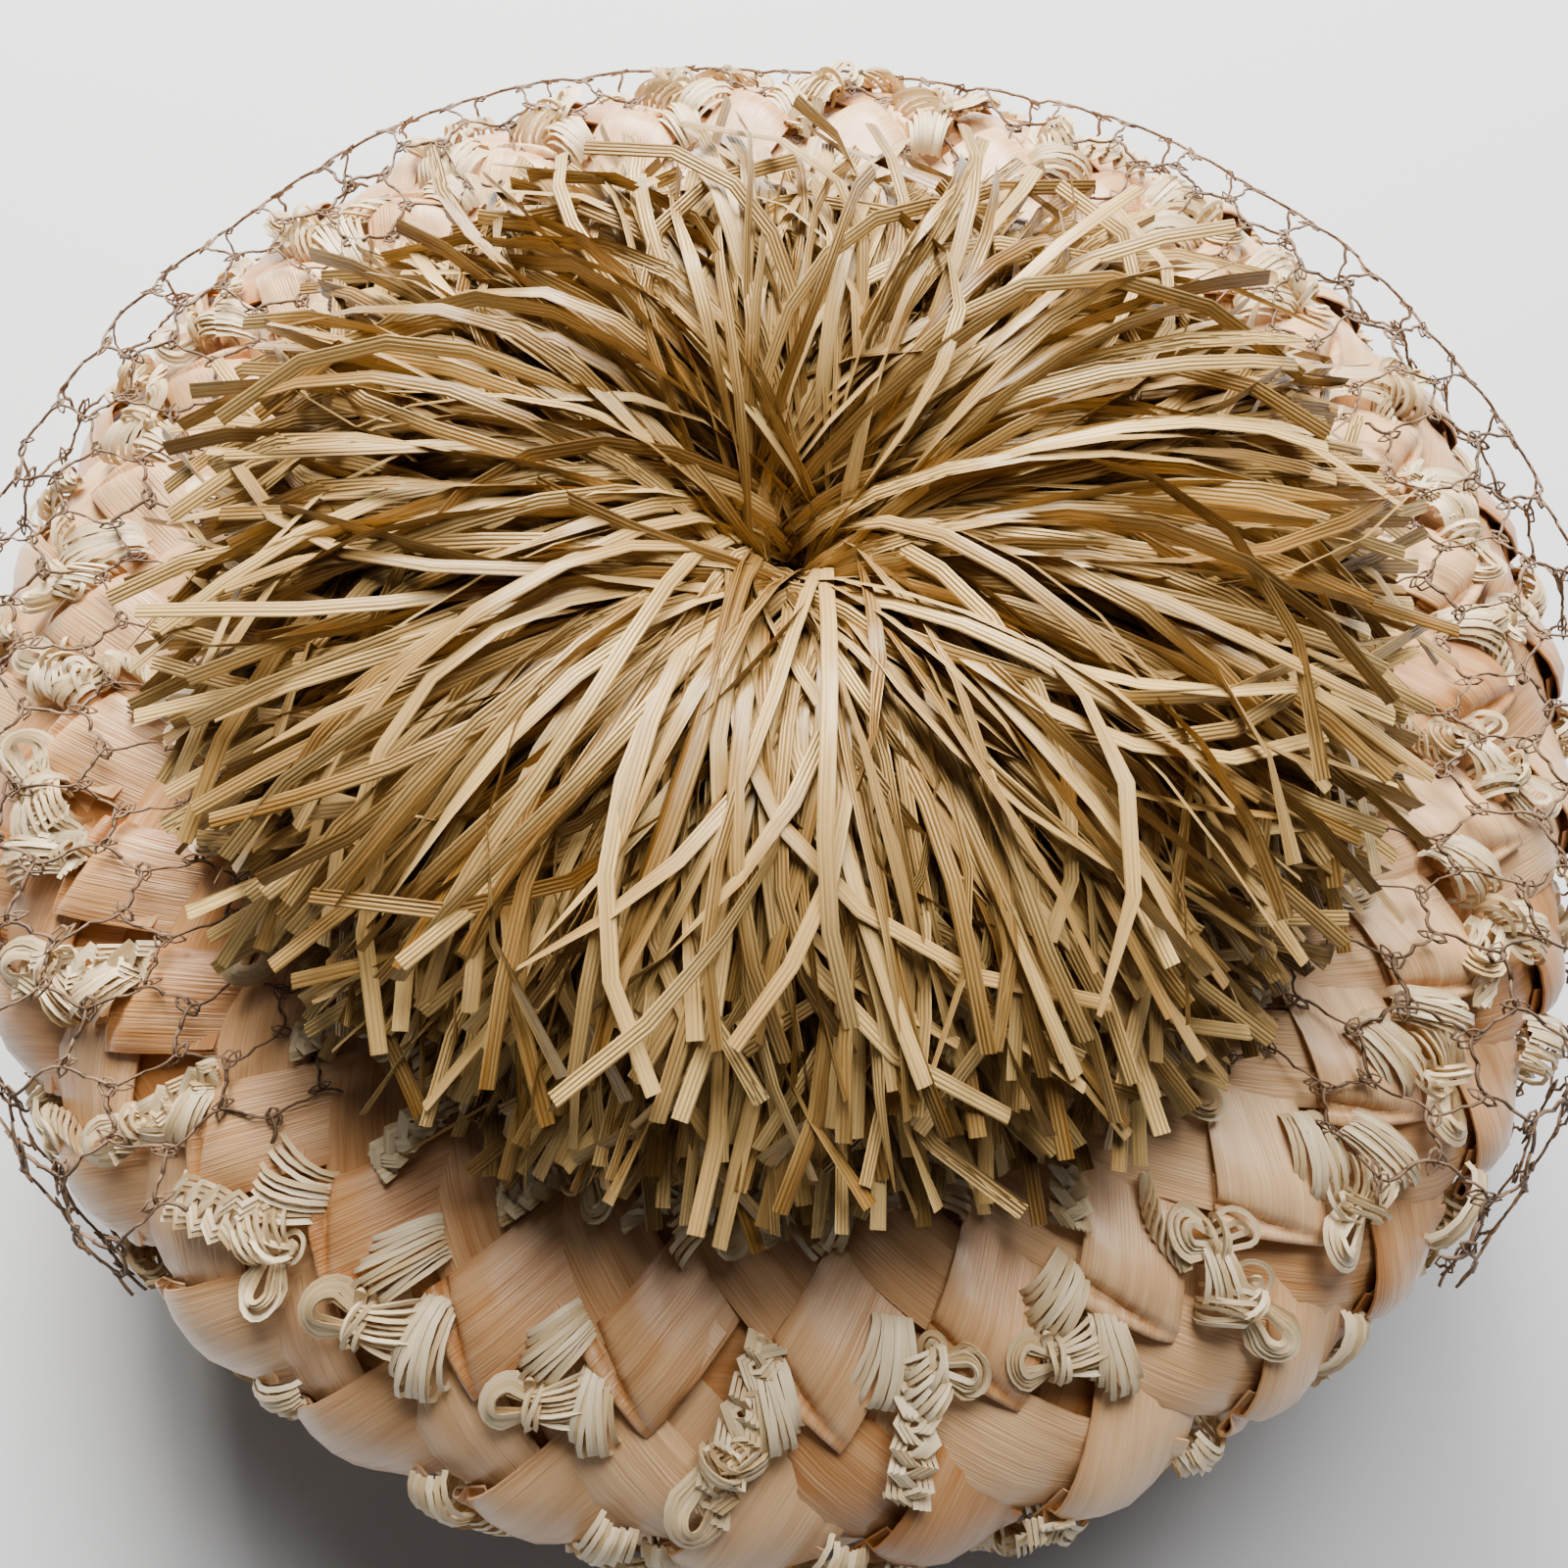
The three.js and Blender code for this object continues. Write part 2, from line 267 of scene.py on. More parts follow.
def build_wrap():
    """The group that lays flat work on the crown. Flat work is drawn with x to the right, measured at
    the crown's widest, y up towards the mop, with 0 at the middle of the top, and z off the straw."""
    tree, given = new_tree("lay_on_crown", {"Geometry": "Geometry", "Outline": "Object"})
    place = add(tree, SPLIT, (add(tree, POSITION),)).outputs
    guide = add(tree, OBJECT, {"Object": given["Outline"]}).outputs["Geometry"]
    arc = add(tree, "MULTIPLY", (place["Y"], -1.0))
    there = {"Curves": guide, "Length": arc}
    on_guide = add(tree, "GeometryNodeSampleCurve", there, mode="LENGTH").outputs
    spot = add(tree, SPLIT, (on_guide["Position"],)).outputs
    along = add(tree, SPLIT, (on_guide["Tangent"],)).outputs
    steep = add(tree, "MULTIPLY", (along["Z"], place["Z"]))
    radius = add(tree, "SUBTRACT", (spot["X"], steep))
    level = add(tree, "MULTIPLY", (along["X"], place["Z"]))
    height = add(tree, "ADD", (spot["Z"], level))
    angle = add(tree, "DIVIDE", (place["X"], WIDEST_R))
    right, to_front = swing(tree, angle, radius)
    to_back = add(tree, "MULTIPLY", (to_front, -1.0))
    round_it = add(tree, JOIN, (right, to_back, height))
    stood = add(tree, VECTOR, (round_it, AXIS), operation="ADD")
    moved = add(tree, SET_POSITION, {"Geometry": given["Geometry"], "Position": stood})
    add(tree, "NodeGroupOutput", {"Geometry": moved})
    return tree


LAY_ON_CROWN = build_wrap()


def points_round_crown(tree, given, arc):
    """A point of flat work at each tooth step, at this arc from the middle of the top."""
    shift = add(tree, "MULTIPLY", (given["Phase"], given["Tooth Step"]))
    down = add(tree, "MULTIPLY", (arc, -1.0))
    start = add(tree, JOIN, (shift, down))
    step = add(tree, JOIN, (given["Tooth Step"],))
    return add(
        tree, "GeometryNodeMeshLine", {"Count": given["Teeth"], "Start Location": start, "Offset": step}
    )


# Materials.

# The long pale and dark bands that run along a strip of split straw.
BAND_LONG = 16 * MM
BAND_WIDE = 1.7 * MM
TONE_APART = 37.0  # how far apart two strips' own streaks lie in the noise
# How much each thing adds to a strip's shade, where the bands add 1. A strip has its dark colour at
# DARKEST_SHADE and its light one at LIGHTEST_SHADE.
# The crease entry paints shade into the creases, and the rib entry paints a highlight on each rib's crest
# and shade between the ribs.
SHADES = {"fibres": 0.7, "tone": 0.75, "stain": -0.8, "painted_rib_shading": 0.05, "edges": -0.35}
DARKEST_SHADE = 0.75
LIGHTEST_SHADE = 1.95
# How much the bands and the ribs add to the height of the fibres, and how deep the whole relief is.
BAND_RELIEF = 0.6
RIB_RELIEF = 0.25
RELIEF = 0.3 * MM
EDGE_RUN = 1.35  # where an edge is darkest, in times the place where it starts to darken
# How much smoother and how much rougher than the strip a streak can be.
SMOOTHER = 0.1
ROUGHER = 0.12
COAT_ROUGHNESS = 0.22


def straw_material(
    name, light, dark, roughness, grain, bump, rib=None, edge=None, coat=0, gloss="ffffff"
):
    """Split plant straw or fibre: a satin skin over fine lengthwise fibres. The grain follows the strip
    by its own along and across attributes, in metres, and each strip has its own tone. grain is the
    length and the width of one streak. rib is the pitch of the ribs that run along a strip, with a
    painted highlight on their crests and painted shade between them, and edge is how far from its middle
    a strip starts to darken. A crease shade attribute paints shade into the creases."""
    material = bpy.data.materials.new(name)
    material.use_nodes = True
    tree = material.node_tree
    shader = tree.nodes["Principled BSDF"]
    along, across, tone, stained = [
        add(tree, "ShaderNodeAttribute", attribute_name=key).outputs["Fac"]
        for key in ("along", "across", "tone", "stain")
    ]
    apart = add(tree, "MULTIPLY", (tone, TONE_APART))
    strip = add(tree, JOIN, (along, across, apart))
    fibres = add(tree, VECTOR, (strip, (1 / grain[0], 1 / grain[1], 1.0)), operation="MULTIPLY")
    streak = add(tree, NOISE, {"Vector": fibres, "Scale": 1.0, "Detail": 4.0})
    bands = add(tree, VECTOR, (strip, (1 / BAND_LONG, 1 / BAND_WIDE, 1.0)), operation="MULTIPLY")
    band = add(tree, NOISE, {"Vector": bands, "Scale": 1.0, "Detail": 3.0})
    height = add(tree, "MULTIPLY_ADD", (band, BAND_RELIEF, streak))
    shade = add(tree, "MULTIPLY_ADD", (streak, SHADES["fibres"], band))
    shade = add(tree, "MULTIPLY_ADD", (tone, SHADES["tone"], shade))
    shade = add(tree, "MULTIPLY_ADD", (stained, SHADES["stain"], shade))
    if rib:
        ridges = add(tree, "MULTIPLY", (across, TAU / rib))
        ridges = add(tree, "COSINE", (ridges,))
        height = add(tree, "MULTIPLY_ADD", (ridges, RIB_RELIEF, height))
        # Painted highlight on each rib's crest and painted shade between the ribs.
        shade = add(tree, "MULTIPLY_ADD", (ridges, SHADES["painted_rib_shading"], shade))
    if edge:
        off = add(tree, "ABSOLUTE", (across,))
        rim = add(tree, MAP, {"Value": off, "From Min": edge, "From Max": edge * EDGE_RUN})
        shade = add(tree, "MULTIPLY_ADD", (rim, SHADES["edges"], shade))
    share = add(tree, MAP, {"Value": shade, "From Min": DARKEST_SHADE, "From Max": LIGHTEST_SHADE})
    colour = add(tree, "ShaderNodeMix", {0: share, 6: linear(dark), 7: linear(light)}, data_type="RGBA")
    tree.links.new(colour.outputs[2], shader.inputs["Base Color"])
    rough = add(
        tree, MAP, {"Value": streak, "To Min": roughness - SMOOTHER, "To Max": roughness + ROUGHER}
    )
    tree.links.new(rough.outputs[0], shader.inputs["Roughness"])
    raised = add(tree, "ShaderNodeBump", {"Height": height, "Strength": bump, "Distance": RELIEF})
    tree.links.new(raised.outputs[0], shader.inputs["Normal"])
    shader.inputs["Coat Weight"].default_value = coat
    shader.inputs["Coat Roughness"].default_value = COAT_ROUGHNESS
    shader.inputs["Specular Tint"].default_value = linear(gloss)
    return material


# Wide strips of split straw, pressed flat: smooth and satin, peach, with browner edges and painted
# shade in the creases.
PRESSED_STRAW = straw_material(
    "pressed_straw_strip", "fed8a8", "b47a44", 0.31, (12 * MM, 0.24 * MM), 0.6, edge=4.8 * MM, coat=0.22
)
# Raffia, peeled from a palm leaf and left pale: dull fibres with a soft shine along their length.
CREAM_RAFFIA = straw_material(
    "cream_raffia_fibre", "fff2d2", "c6a877", 0.42, (5 * MM, 0.12 * MM), 0.4
)
# Shiny viscose straw, cut from a ribbed tape: golden, and it glints where a ribbon turns over.
# Its colour is painted lighter on each rib's crest and darker between the ribs, as painted highlight and
# shade.
GLOSSY_RIBBON = straw_material(
    "glossy_straw_ribbon", "e8c683", "6e4b1b", 0.28, (14 * MM, 0.2 * MM), 0.6,
    rib=0.4 * MM, coat=0.25, gloss="ffe6b4",
)
# Twisted silk thread: dull and brown.
SILK_THREAD = straw_material("twisted_silk_thread", "9a7c61", "584230", 0.6, (2 * MM, 0.1 * MM), 0.4)


# The straw strips.


def strip_unit(name, parts):
    """One closed mesh of flat strips. Each part is (start, direction, width, stations, height, edges).
    A station is (how far along, how far it drops in the fold, how far it has turned round it), edges
    are the places across, from -1 to 1, and height gives how far a point stands off the straw and how
    much painted shade it gets in the crease."""
    vertices, faces, along, across, stain = [], [], [], [], []
    for start, direction, width, stations, height, edges in parts:
        side = Vector((direction.y, -direction.x))
        first = len(vertices)
        for layer in (0, 1):
            thick = STRIP_THICK * layer
            for t, drop, turn in stations:
                for v in edges:
                    spot = start + direction * t + side * (v * width / 2)
                    up, stained = height(t, v)
                    spot = spot + direction * (math.sin(turn) * thick)
                    vertices.append((spot.x, spot.y, up - drop - math.cos(turn) * thick))
                    along.append(t)
                    across.append(v * width / 2)
                    stain.append(stained)
        rows, columns = len(stations), len(edges)
        step = rows * columns

        def at(layer, i, j):
            return first + layer * step + i * columns + j

        for i in range(rows - 1):
            for j in range(columns - 1):
                faces.append([at(0, i, j), at(0, i, j + 1), at(0, i + 1, j + 1), at(0, i + 1, j)])
                faces.append([at(1, i + 1, j), at(1, i + 1, j + 1), at(1, i, j + 1), at(1, i, j)])
        last = columns - 1
        for i in range(rows - 1):
            faces.append([at(0, i + 1, 0), at(1, i + 1, 0), at(1, i, 0), at(0, i, 0)])
            faces.append([at(0, i, last), at(1, i, last), at(1, i + 1, last), at(0, i + 1, last)])
        end = rows - 1
        for j in range(columns - 1):
            faces.append([at(0, 0, j), at(1, 0, j), at(1, 0, j + 1), at(0, 0, j + 1)])
            faces.append([at(0, end, j + 1), at(1, end, j + 1), at(1, end, j), at(0, end, j)])
    mesh = smooth_mesh(name, vertices, faces, along=along, across=across, stain=stain)
    return bpy.data.objects.new(name, mesh)


# The fold at a tooth's end, and how far the folded end runs back under the strip.
FOLD_R = 0.6 * MM
FOLD_STATIONS = 6
TUCK = 5 * MM
# The strips weave over and under each other.
WEAVE_MID = 0.9 * MM
WEAVE_AMP = 0.6 * MM
FIRST_CROSSING = 6.6 * MM
# A tooth stands off the next course, and the rest of it dives under the course above.
TOOTH_LIFT = 3.0 * MM
LIFT_RUN = 18 * MM
DEEPEST_TAIL = -1.3 * MM  # inside the backing, where nothing shows
UNDER_LIFT = 0.85  # the second strip's lift, as a share of the first one's
# The crease runs out from the tip to the far end of the fold.
CREASE_NEAR = 0.1 * MM
CREASE_SPREAD = 1.7 * MM
CREASE_WIDTH = 0.55 * MM
CREASE_DEPTH = 1.5 * MM
CREASE_AT_TIP = 0.25  # as a share of its depth at the far end
# The straw is puffed behind the crease.
PUFF = 1.1 * MM
PUFF_AT = 4.8 * MM
PUFF_LENGTH = 3.0 * MM
# The sides roll down, most of all near the tip.
ROLL_LENGTH = 9 * MM
ROLL_FAR = 0.25  # as a share of the roll at the tip
LEFT_ROLL = 0.3 * MM
UNDER_ROLL = 0.35 * MM
RIGHT_ROLLS = [0.3 * MM, 0.65 * MM, 1.0 * MM]  # one for each shape of tooth
# Where the strips have their rows of points, in millimetres along, and their columns across.
TOP_STATIONS = (0.35, 0.7, 1.05, 1.4, 1.8, 2.2, 2.7, 3.5, 5, 7, 9.5, 12.5, 16, 20, 24, 29)
UNDER_STATIONS = (-5.5, -2, 1.5, 4.5, 7.5, 11, 14.4, 18, 21.5, 25, 29, 34)
TOP_EDGES = (-1, -0.88, -0.55, -0.15, 0.25, 0.6, 0.86, 1)
UNDER_EDGES = (-1, -0.8, -0.3, 0.3, 0.8, 1)

TOP_WAY = Vector((math.cos(STRIP_SLOPE), math.sin(STRIP_SLOPE)))
UNDER_WAY = Vector((-TOP_WAY.y, TOP_WAY.x))
# From one strip to the next of the same course, square to the strips.
TOP_STEP = TOOTH_STEP * math.sin(STRIP_SLOPE)
UNDER_STEP = TOOTH_STEP * math.cos(STRIP_SLOPE)


def tooth_unit(name, right_roll):
    """The two strips of one tooth, drawn flat with the tooth's tip at the origin. The top one comes
    from the upper right and folds under at its end, and the under one crosses behind it. right_roll
    is how far the right side of the top one rolls down."""
    side = Vector((TOP_WAY.y, -TOP_WAY.x))
    top_start = -side * (STRIP_WIDTH / 2)
    under_start = top_start + TOP_WAY * FIRST_CROSSING

    def lift(spot):
        return max(TOOTH_LIFT * (1 - spot.y / LIFT_RUN), DEEPEST_TAIL)

    def top_height(t, v):
        along = max(t, 0.0)
        spot = top_start + TOP_WAY * along
        weave = WEAVE_MID + WEAVE_AMP * math.cos(math.pi * (along - FIRST_CROSSING) / UNDER_STEP)
        from_tip = (1 - v) / 2
        behind = along - CREASE_NEAR - CREASE_SPREAD * from_tip
        crease = CREASE_AT_TIP + (1 - CREASE_AT_TIP) * from_tip
        crease *= math.exp(-((behind / CREASE_WIDTH) ** 2))
        puff = PUFF * (1 - v * v) * math.exp(-(((along - PUFF_AT) / PUFF_LENGTH) ** 2))
        near_tip = ROLL_FAR + (1 - ROLL_FAR) * math.exp(-((along / ROLL_LENGTH) ** 2))
        rolled = near_tip * (right_roll * max(v, 0.0) ** 4 + LEFT_ROLL * max(-v, 0.0) ** 5)
        # The second value is the crease's share, which paints shade into the straw's colour there.
        return weave + lift(spot) + puff - CREASE_DEPTH * crease - rolled, crease

    def under_height(t, v):
        spot = under_start + UNDER_WAY * t
        weave = WEAVE_MID - WEAVE_AMP * math.cos(math.pi * t / TOP_STEP)
        return weave + lift(spot) * UNDER_LIFT - UNDER_ROLL * abs(v) ** 5, 0.0

    stations = [(TUCK, 2 * FOLD_R, math.pi), (TUCK / 2, 2 * FOLD_R, math.pi)]
    for i in range(FOLD_STATIONS + 1):
        turn = math.pi * (1 - i / FOLD_STATIONS)
        stations.append((-FOLD_R * math.sin(turn), FOLD_R * (1 - math.cos(turn)), turn))
    stations += [(d * MM, 0.0, 0.0) for d in TOP_STATIONS]
    under_stations = [(d * MM, 0.0, 0.0) for d in UNDER_STATIONS]
    return strip_unit(
        name,
        [
            (top_start, TOP_WAY, STRIP_WIDTH, stations, top_height, TOP_EDGES),
            (under_start, UNDER_WAY, UNDER_STRIP_WIDTH, under_stations, under_height, UNDER_EDGES),
        ],
    )


# How far a tooth may stray, as shares of the tree's own Stray, and how far it may turn, in radians.
TOOTH_STRAY_LOW = (-1, -1, 0)
TOOTH_STRAY_HIGH = (1, 1, 0.4)
TOOTH_TURN = Vector((0.02, 0.02, 0.07))
WRINKLES_PER_METRE = 110.0
COURSE_SEED = 10


def build_course_tree():
    """One course of the plait: a tooth at each step round the crown, each a little different."""
    tree, given = new_tree(
        "plait_course",
        {
            "Shapes": "Collection", "Outline": "Object", "Material": "Material", "Teeth": TEETH,
            "Tooth Step": TOOTH_STEP, "Tip Arc": 0.1, "Phase": 0.0, "Stray": 0.9 * MM,
            "Wrinkle": 0.7 * MM, "Seed": 1,
        },
    )
    tips = points_round_crown(tree, given, given["Tip Arc"])
    stray = add(
        tree, RANDOM, {0: TOOTH_STRAY_LOW, 1: TOOTH_STRAY_HIGH, "Seed": given["Seed"]},
        data_type="FLOAT_VECTOR",
    )
    strayed = add(tree, VECTOR, {0: stray, "Scale": given["Stray"]}, operation="SCALE")
    placed = add(tree, SET_POSITION, {"Geometry": tips, "Offset": strayed})
    turn = add(
        tree, RANDOM, {0: -TOOTH_TURN, 1: TOOTH_TURN, "Seed": given["Seed"]}, data_type="FLOAT_VECTOR"
    )
    teeth = place_shapes(tree, placed, given["Shapes"], {"Rotation": turn})
    real = add(tree, REALIZE, {"Geometry": give_tone(tree, teeth, given["Seed"], "INSTANCE")})
    wrinkle = ripple(tree, WRINKLES_PER_METRE, given["Wrinkle"])
    softened = add(tree, SET_POSITION, {"Geometry": real, "Offset": wrinkle})
    laid = add(tree, GROUP, {"Geometry": softened, "Outline": given["Outline"]}, node_tree=LAY_ON_CROWN)
    end_tree(tree, sharpen(tree, laid), given["Material"])
    return tree


def make_courses():
    shapes = [tooth_unit(f"tooth_shape_{i}", roll) for i, roll in enumerate(RIGHT_ROLLS)]
    teeth = helper_collection("tooth_shapes", shapes)
    tree = build_course_tree()
    for i in range(1, COURSES + 1):
        course = grow(
            f"plait_course_{i}",
            tree,
            {
                "Shapes": teeth,
                "Outline": OUTLINE_GUIDE,
                "Material": PRESSED_STRAW,
                "Tip Arc": min(FIRST_TEETH_ARC + (i - 1) * COURSE_PITCH, CROWN_ARC - LAST_TIPS_UP),
                "Phase": 0.5 * (i % 2),
                "Seed": COURSE_SEED + i,
            },
        )
        finish_piece(course, "plaited_straw")


BACKING_SIDES = 96
BACKING_STEP = 8  # every so many points of the outline
BACKING_TONE = 0.35
INNER_TIP_R = 0.5 * MM  # the small flat in the middle of the top's inside


def make_backing():
    """The plait's sewn inside: a thin wall just under the strips, open below."""
    rings = OUTLINE[1::BACKING_STEP] + [(OUTLINE[-1][0], 0.0)]
    for r, z in OUTLINE[::-BACKING_STEP]:
        lower = WALL if z > WIDEST_Z else 0
        rings.append((max(r - WALL, INNER_TIP_R), max(z - lower, 0.0)))
    vertices, faces, along, across = [], [], [], []
    for r, z in rings:
        for j in range(BACKING_SIDES):
            a = TAU * j / BACKING_SIDES
            vertices.append((AXIS.x + r * math.cos(a), AXIS.y + r * math.sin(a), z))
            along.append(a * WIDEST_R)
            across.append(z)
    for i in range(len(rings) - 1):
        for j in range(BACKING_SIDES):
            k = (j + 1) % BACKING_SIDES
            here, below = i * BACKING_SIDES, (i + 1) * BACKING_SIDES
            faces.append([here + j, below + j, below + k, here + k])
    faces.append(list(range(BACKING_SIDES)))
    last = (len(rings) - 1) * BACKING_SIDES
    faces.append([last + j for j in range(BACKING_SIDES)][::-1])
    tone = [BACKING_TONE] * len(vertices)
    mesh = smooth_mesh("plait_backing", vertices, faces, along=along, across=across, tone=tone)
    mesh.materials.append(PRESSED_STRAW)
    backing = link(bpy.data.objects.new("plait_backing", mesh))
    finish_piece(backing, "plaited_straw", "crown")


# The mop.

# A ribbon in section, in millimetres: flat, and thicker along its middle.
RIBBON_SECTION = [(-0.76, 0.06), (0.76, 0.06), (0, -0.1)]
RIBBON_POINTS = 9
BLANK_LENGTH = 60 * MM  # before a ribbon gets its own length
TIE_BACK = 3 * MM
TRIM_BEHIND = 0.13
MOP_BREADTH = 1.02  # how much wider the mop is from side to side than from front to back
# Each ribbon waves: how far the wave turns from the tie to the tip, in radians, how high it goes
# there, and how far it swings the tip aside, in radians.
WAVE_TURN = 6.0
WAVE_HIGH = 1.1 * MM
WAVE_ASIDE = 0.045
TIP_CURL = 3 * MM
LAYER_SOFTNESS = 2 * MM
CLUMPS = 29.0
OVERTURN = 6.0  # how far the ribbon that twists most turns over, in radians
TWIST_AT_TIE = 0.2
# A ribbon is pinched at the tie and reaches its full width at this share of its length.
PINCHED = 0.45
FULL_WIDTH_AT = 0.3
# What differs from ribbon to ribbon, as a range for each: angles in radians, and width and share as
# shares.
RIBBON_RANGES = {
    "azimuth": (0.0, TAU),
    "length": ("Least Length", "Most Length"),
    "share": (0.0, 1.0),
    "tone": (0.0, 1.0),
    "sway": (-1.0, 1.0),
    "twist": (-1.0, 1.0),
    "droop": (-0.2, 0.2),
    "root": (0.0, 1.0),
    "layer": (0.0, 4 * MM),
    "curl": (-1.0, 1.0),
    "phase": (0.0, TAU),
    "width": (0.65, 1.25),
    "lean": (-1.1, 1.1),
    "aside": (-1.9, 1.9),
}
SEEDS_APART = 7.0


def build_mop_tree():
    """One tier of a mop of cut ribbons. Each ribbon starts at the tie, rises at its own angle and
    bends down at an even rate to its own end angle."""
    tree, given = new_tree(
        "straw_mop_tier",
        {
            "Section": "Object", "Material": "Material", "Ribbons": 2800, "Tie Height": 92 * MM,
            "Tie Radius": 7 * MM, "Tie Hollow": 1.5 * MM, "Least Length": 52 * MM,
            "Most Length": 64 * MM, "Lowest Rise": 0.0, "Highest Rise": 0.8, "Flattest End": -0.3,
            "Steepest End": -0.7, "Clump": 0.05, "Stray": 0.7, "Lowest Layer": 79.4 * MM, "Seed": 1,
        },
    )
    points = add(tree, "GeometryNodePoints", {"Count": given["Ribbons"]})
    blank = add(tree, "GeometryNodeCurvePrimitiveLine", {"End": (0, 0, BLANK_LENGTH)})
    blank = add(tree, "GeometryNodeResampleCurve", {"Curve": blank, "Count": RIBBON_POINTS})
    ribbons = add(tree, "GeometryNodeInstanceOnPoints", {"Points": points, "Instance": blank})
    for i, (name, ends) in enumerate(RIBBON_RANGES.items()):
        low, high = [given[end] if isinstance(end, str) else end for end in ends]
        seed = add(tree, "ADD", (given["Seed"], SEEDS_APART * i))
        value = add(tree, RANDOM, {2: low, 3: high, "Seed": seed}).outputs[1]
        ribbons = add(tree, STORE, {"Geometry": ribbons, "Name": name, "Value": value}, domain="INSTANCE")
    real = add(tree, REALIZE, {"Geometry": ribbons})
    own = {
        name: add(tree, "GeometryNodeInputNamedAttribute", {"Name": name}).outputs[0]
        for name in RIBBON_RANGES
    }
    t = add(tree, "GeometryNodeSplineParameter").outputs["Factor"]
    t2 = add(tree, "MULTIPLY", (t, t))
    t4 = add(tree, "MULTIPLY", (t2, t2))

    # The arc in its own upright plane: how far out and how far up a point lies.
    span = add(tree, "SUBTRACT", (given["Highest Rise"], given["Lowest Rise"]))
    rise = add(tree, "MULTIPLY_ADD", (own["share"], span, given["Lowest Rise"]))
    drop = add(tree, "SUBTRACT", (given["Steepest End"], given["Flattest End"]))
    end = add(tree, "MULTIPLY_ADD", (own["share"], drop, given["Flattest End"]))
    end = add(tree, "ADD", (end, own["droop"]))
    bend = add(tree, "SUBTRACT", (rise, end))
    bent = add(tree, "MULTIPLY", (bend, t))
    slope = add(tree, "SUBTRACT", (rise, bent))
    radius = add(tree, "DIVIDE", (own["length"], bend))
    sine_rise = add(tree, "SINE", (rise,))
    sine_slope = add(tree, "SINE", (slope,))
    reach = add(tree, "SUBTRACT", (sine_rise, sine_slope))
    cosine_slope = add(tree, "COSINE", (slope,))
    cosine_rise = add(tree, "COSINE", (rise,))
    climb = add(tree, "SUBTRACT", (cosine_slope, cosine_rise))
    spread = add(tree, "POWER", (own["root"], 0.5))
    root = add(tree, "MULTIPLY_ADD", (spread, given["Tie Radius"], given["Tie Hollow"]))
    out = add(tree, "MULTIPLY", (reach, radius))
    up = add(tree, "MULTIPLY_ADD", (climb, radius, given["Tie Height"]))

    # Each ribbon waves a little, its tip curls, and none lies lower than its layer over the straw.
    wave = add(tree, "MULTIPLY_ADD", (t, WAVE_TURN, own["phase"]))
    wave = add(tree, "SINE", (wave,))
    wave = add(tree, "MULTIPLY", (wave, t))
    up = add(tree, "MULTIPLY_ADD", (wave, WAVE_HIGH, up))
    tip = add(tree, "MULTIPLY", (own["curl"], t4))
    up = add(tree, "MULTIPLY_ADD", (tip, TIP_CURL, up))
    lowest = add(tree, "ADD", (given["Lowest Layer"], own["layer"]))
    up = add(tree, "SMOOTH_MAX", (up, lowest, LAYER_SOFTNESS))

    # Most ribbons leave straight out and a few cross their neighbours.
    often = add(tree, "MULTIPLY", (own["sway"], own["sway"]))
    stray = add(tree, "MULTIPLY", (often, own["sway"]))
    clumps = add(tree, "MULTIPLY", (own["azimuth"], CLUMPS))
    clumps = add(tree, "SINE", (clumps,))
    gathered = add(tree, "MULTIPLY_ADD", (clumps, given["Clump"], own["azimuth"]))
    turn = add(tree, "MULTIPLY", (stray, t2))
    turn = add(tree, "MULTIPLY_ADD", (turn, given["Stray"], gathered))
    turn = add(tree, "MULTIPLY_ADD", (wave, WAVE_ASIDE, turn))
    start = add(tree, "ADD", (own["azimuth"], own["aside"]))
    sideways, back = swing(tree, turn, out, *swing(tree, start, root))
    right = add(tree, "MULTIPLY", (sideways, MOP_BREADTH))

    # The tie sits a little behind the middle, and the mop is trimmed a little shorter behind.
    to_tie = add(tree, "SUBTRACT", (1.0, t))
    back = add(tree, "MULTIPLY_ADD", (to_tie, TIE_BACK, back))
    behind = add(tree, "MAXIMUM", (back, 0.0))
    back = add(tree, "MULTIPLY_ADD", (behind, -TRIM_BEHIND, back))
    spot = add(tree, JOIN, (right, back, up))
    stood = add(tree, VECTOR, (spot, AXIS), operation="ADD")
    shaped = add(tree, SET_POSITION, {"Geometry": real, "Position": stood})
    length = add(tree, "MULTIPLY", (t, own["length"]))
    kept = add(tree, STORE, {"Geometry": shaped, "Name": "along", "Value": length})

    # A ribbon is pinched at the tie, lies flat on the arc, and some turn over on their way out.
    upright = add(tree, "GeometryNodeSetCurveNormal", {"Curve": kept}, mode="Z_UP")
    over = add(tree, "MULTIPLY", (own["twist"], own["twist"]))
    over = add(tree, "MULTIPLY", (over, own["twist"]))
    over = add(tree, "MULTIPLY", (over, OVERTURN))
    late = add(tree, "ADD", (t, TWIST_AT_TIE))
    tilt = add(tree, "MULTIPLY_ADD", (over, late, own["lean"]))
    tilted = add(tree, "GeometryNodeSetCurveTilt", {"Curve": upright, "Tilt": tilt})
    pinch = add(tree, MAP, {"Value": t, "From Max": FULL_WIDTH_AT, "To Min": PINCHED, "To Max": 1.0})
    wide = add(tree, "MULTIPLY", (pinch, own["width"]))
    sized = add(tree, "GeometryNodeSetCurveRadius", {"Curve": tilted, "Radius": wide})
    end_tree(tree, sweep(tree, sized, given["Section"]), given["Material"])
    return tree


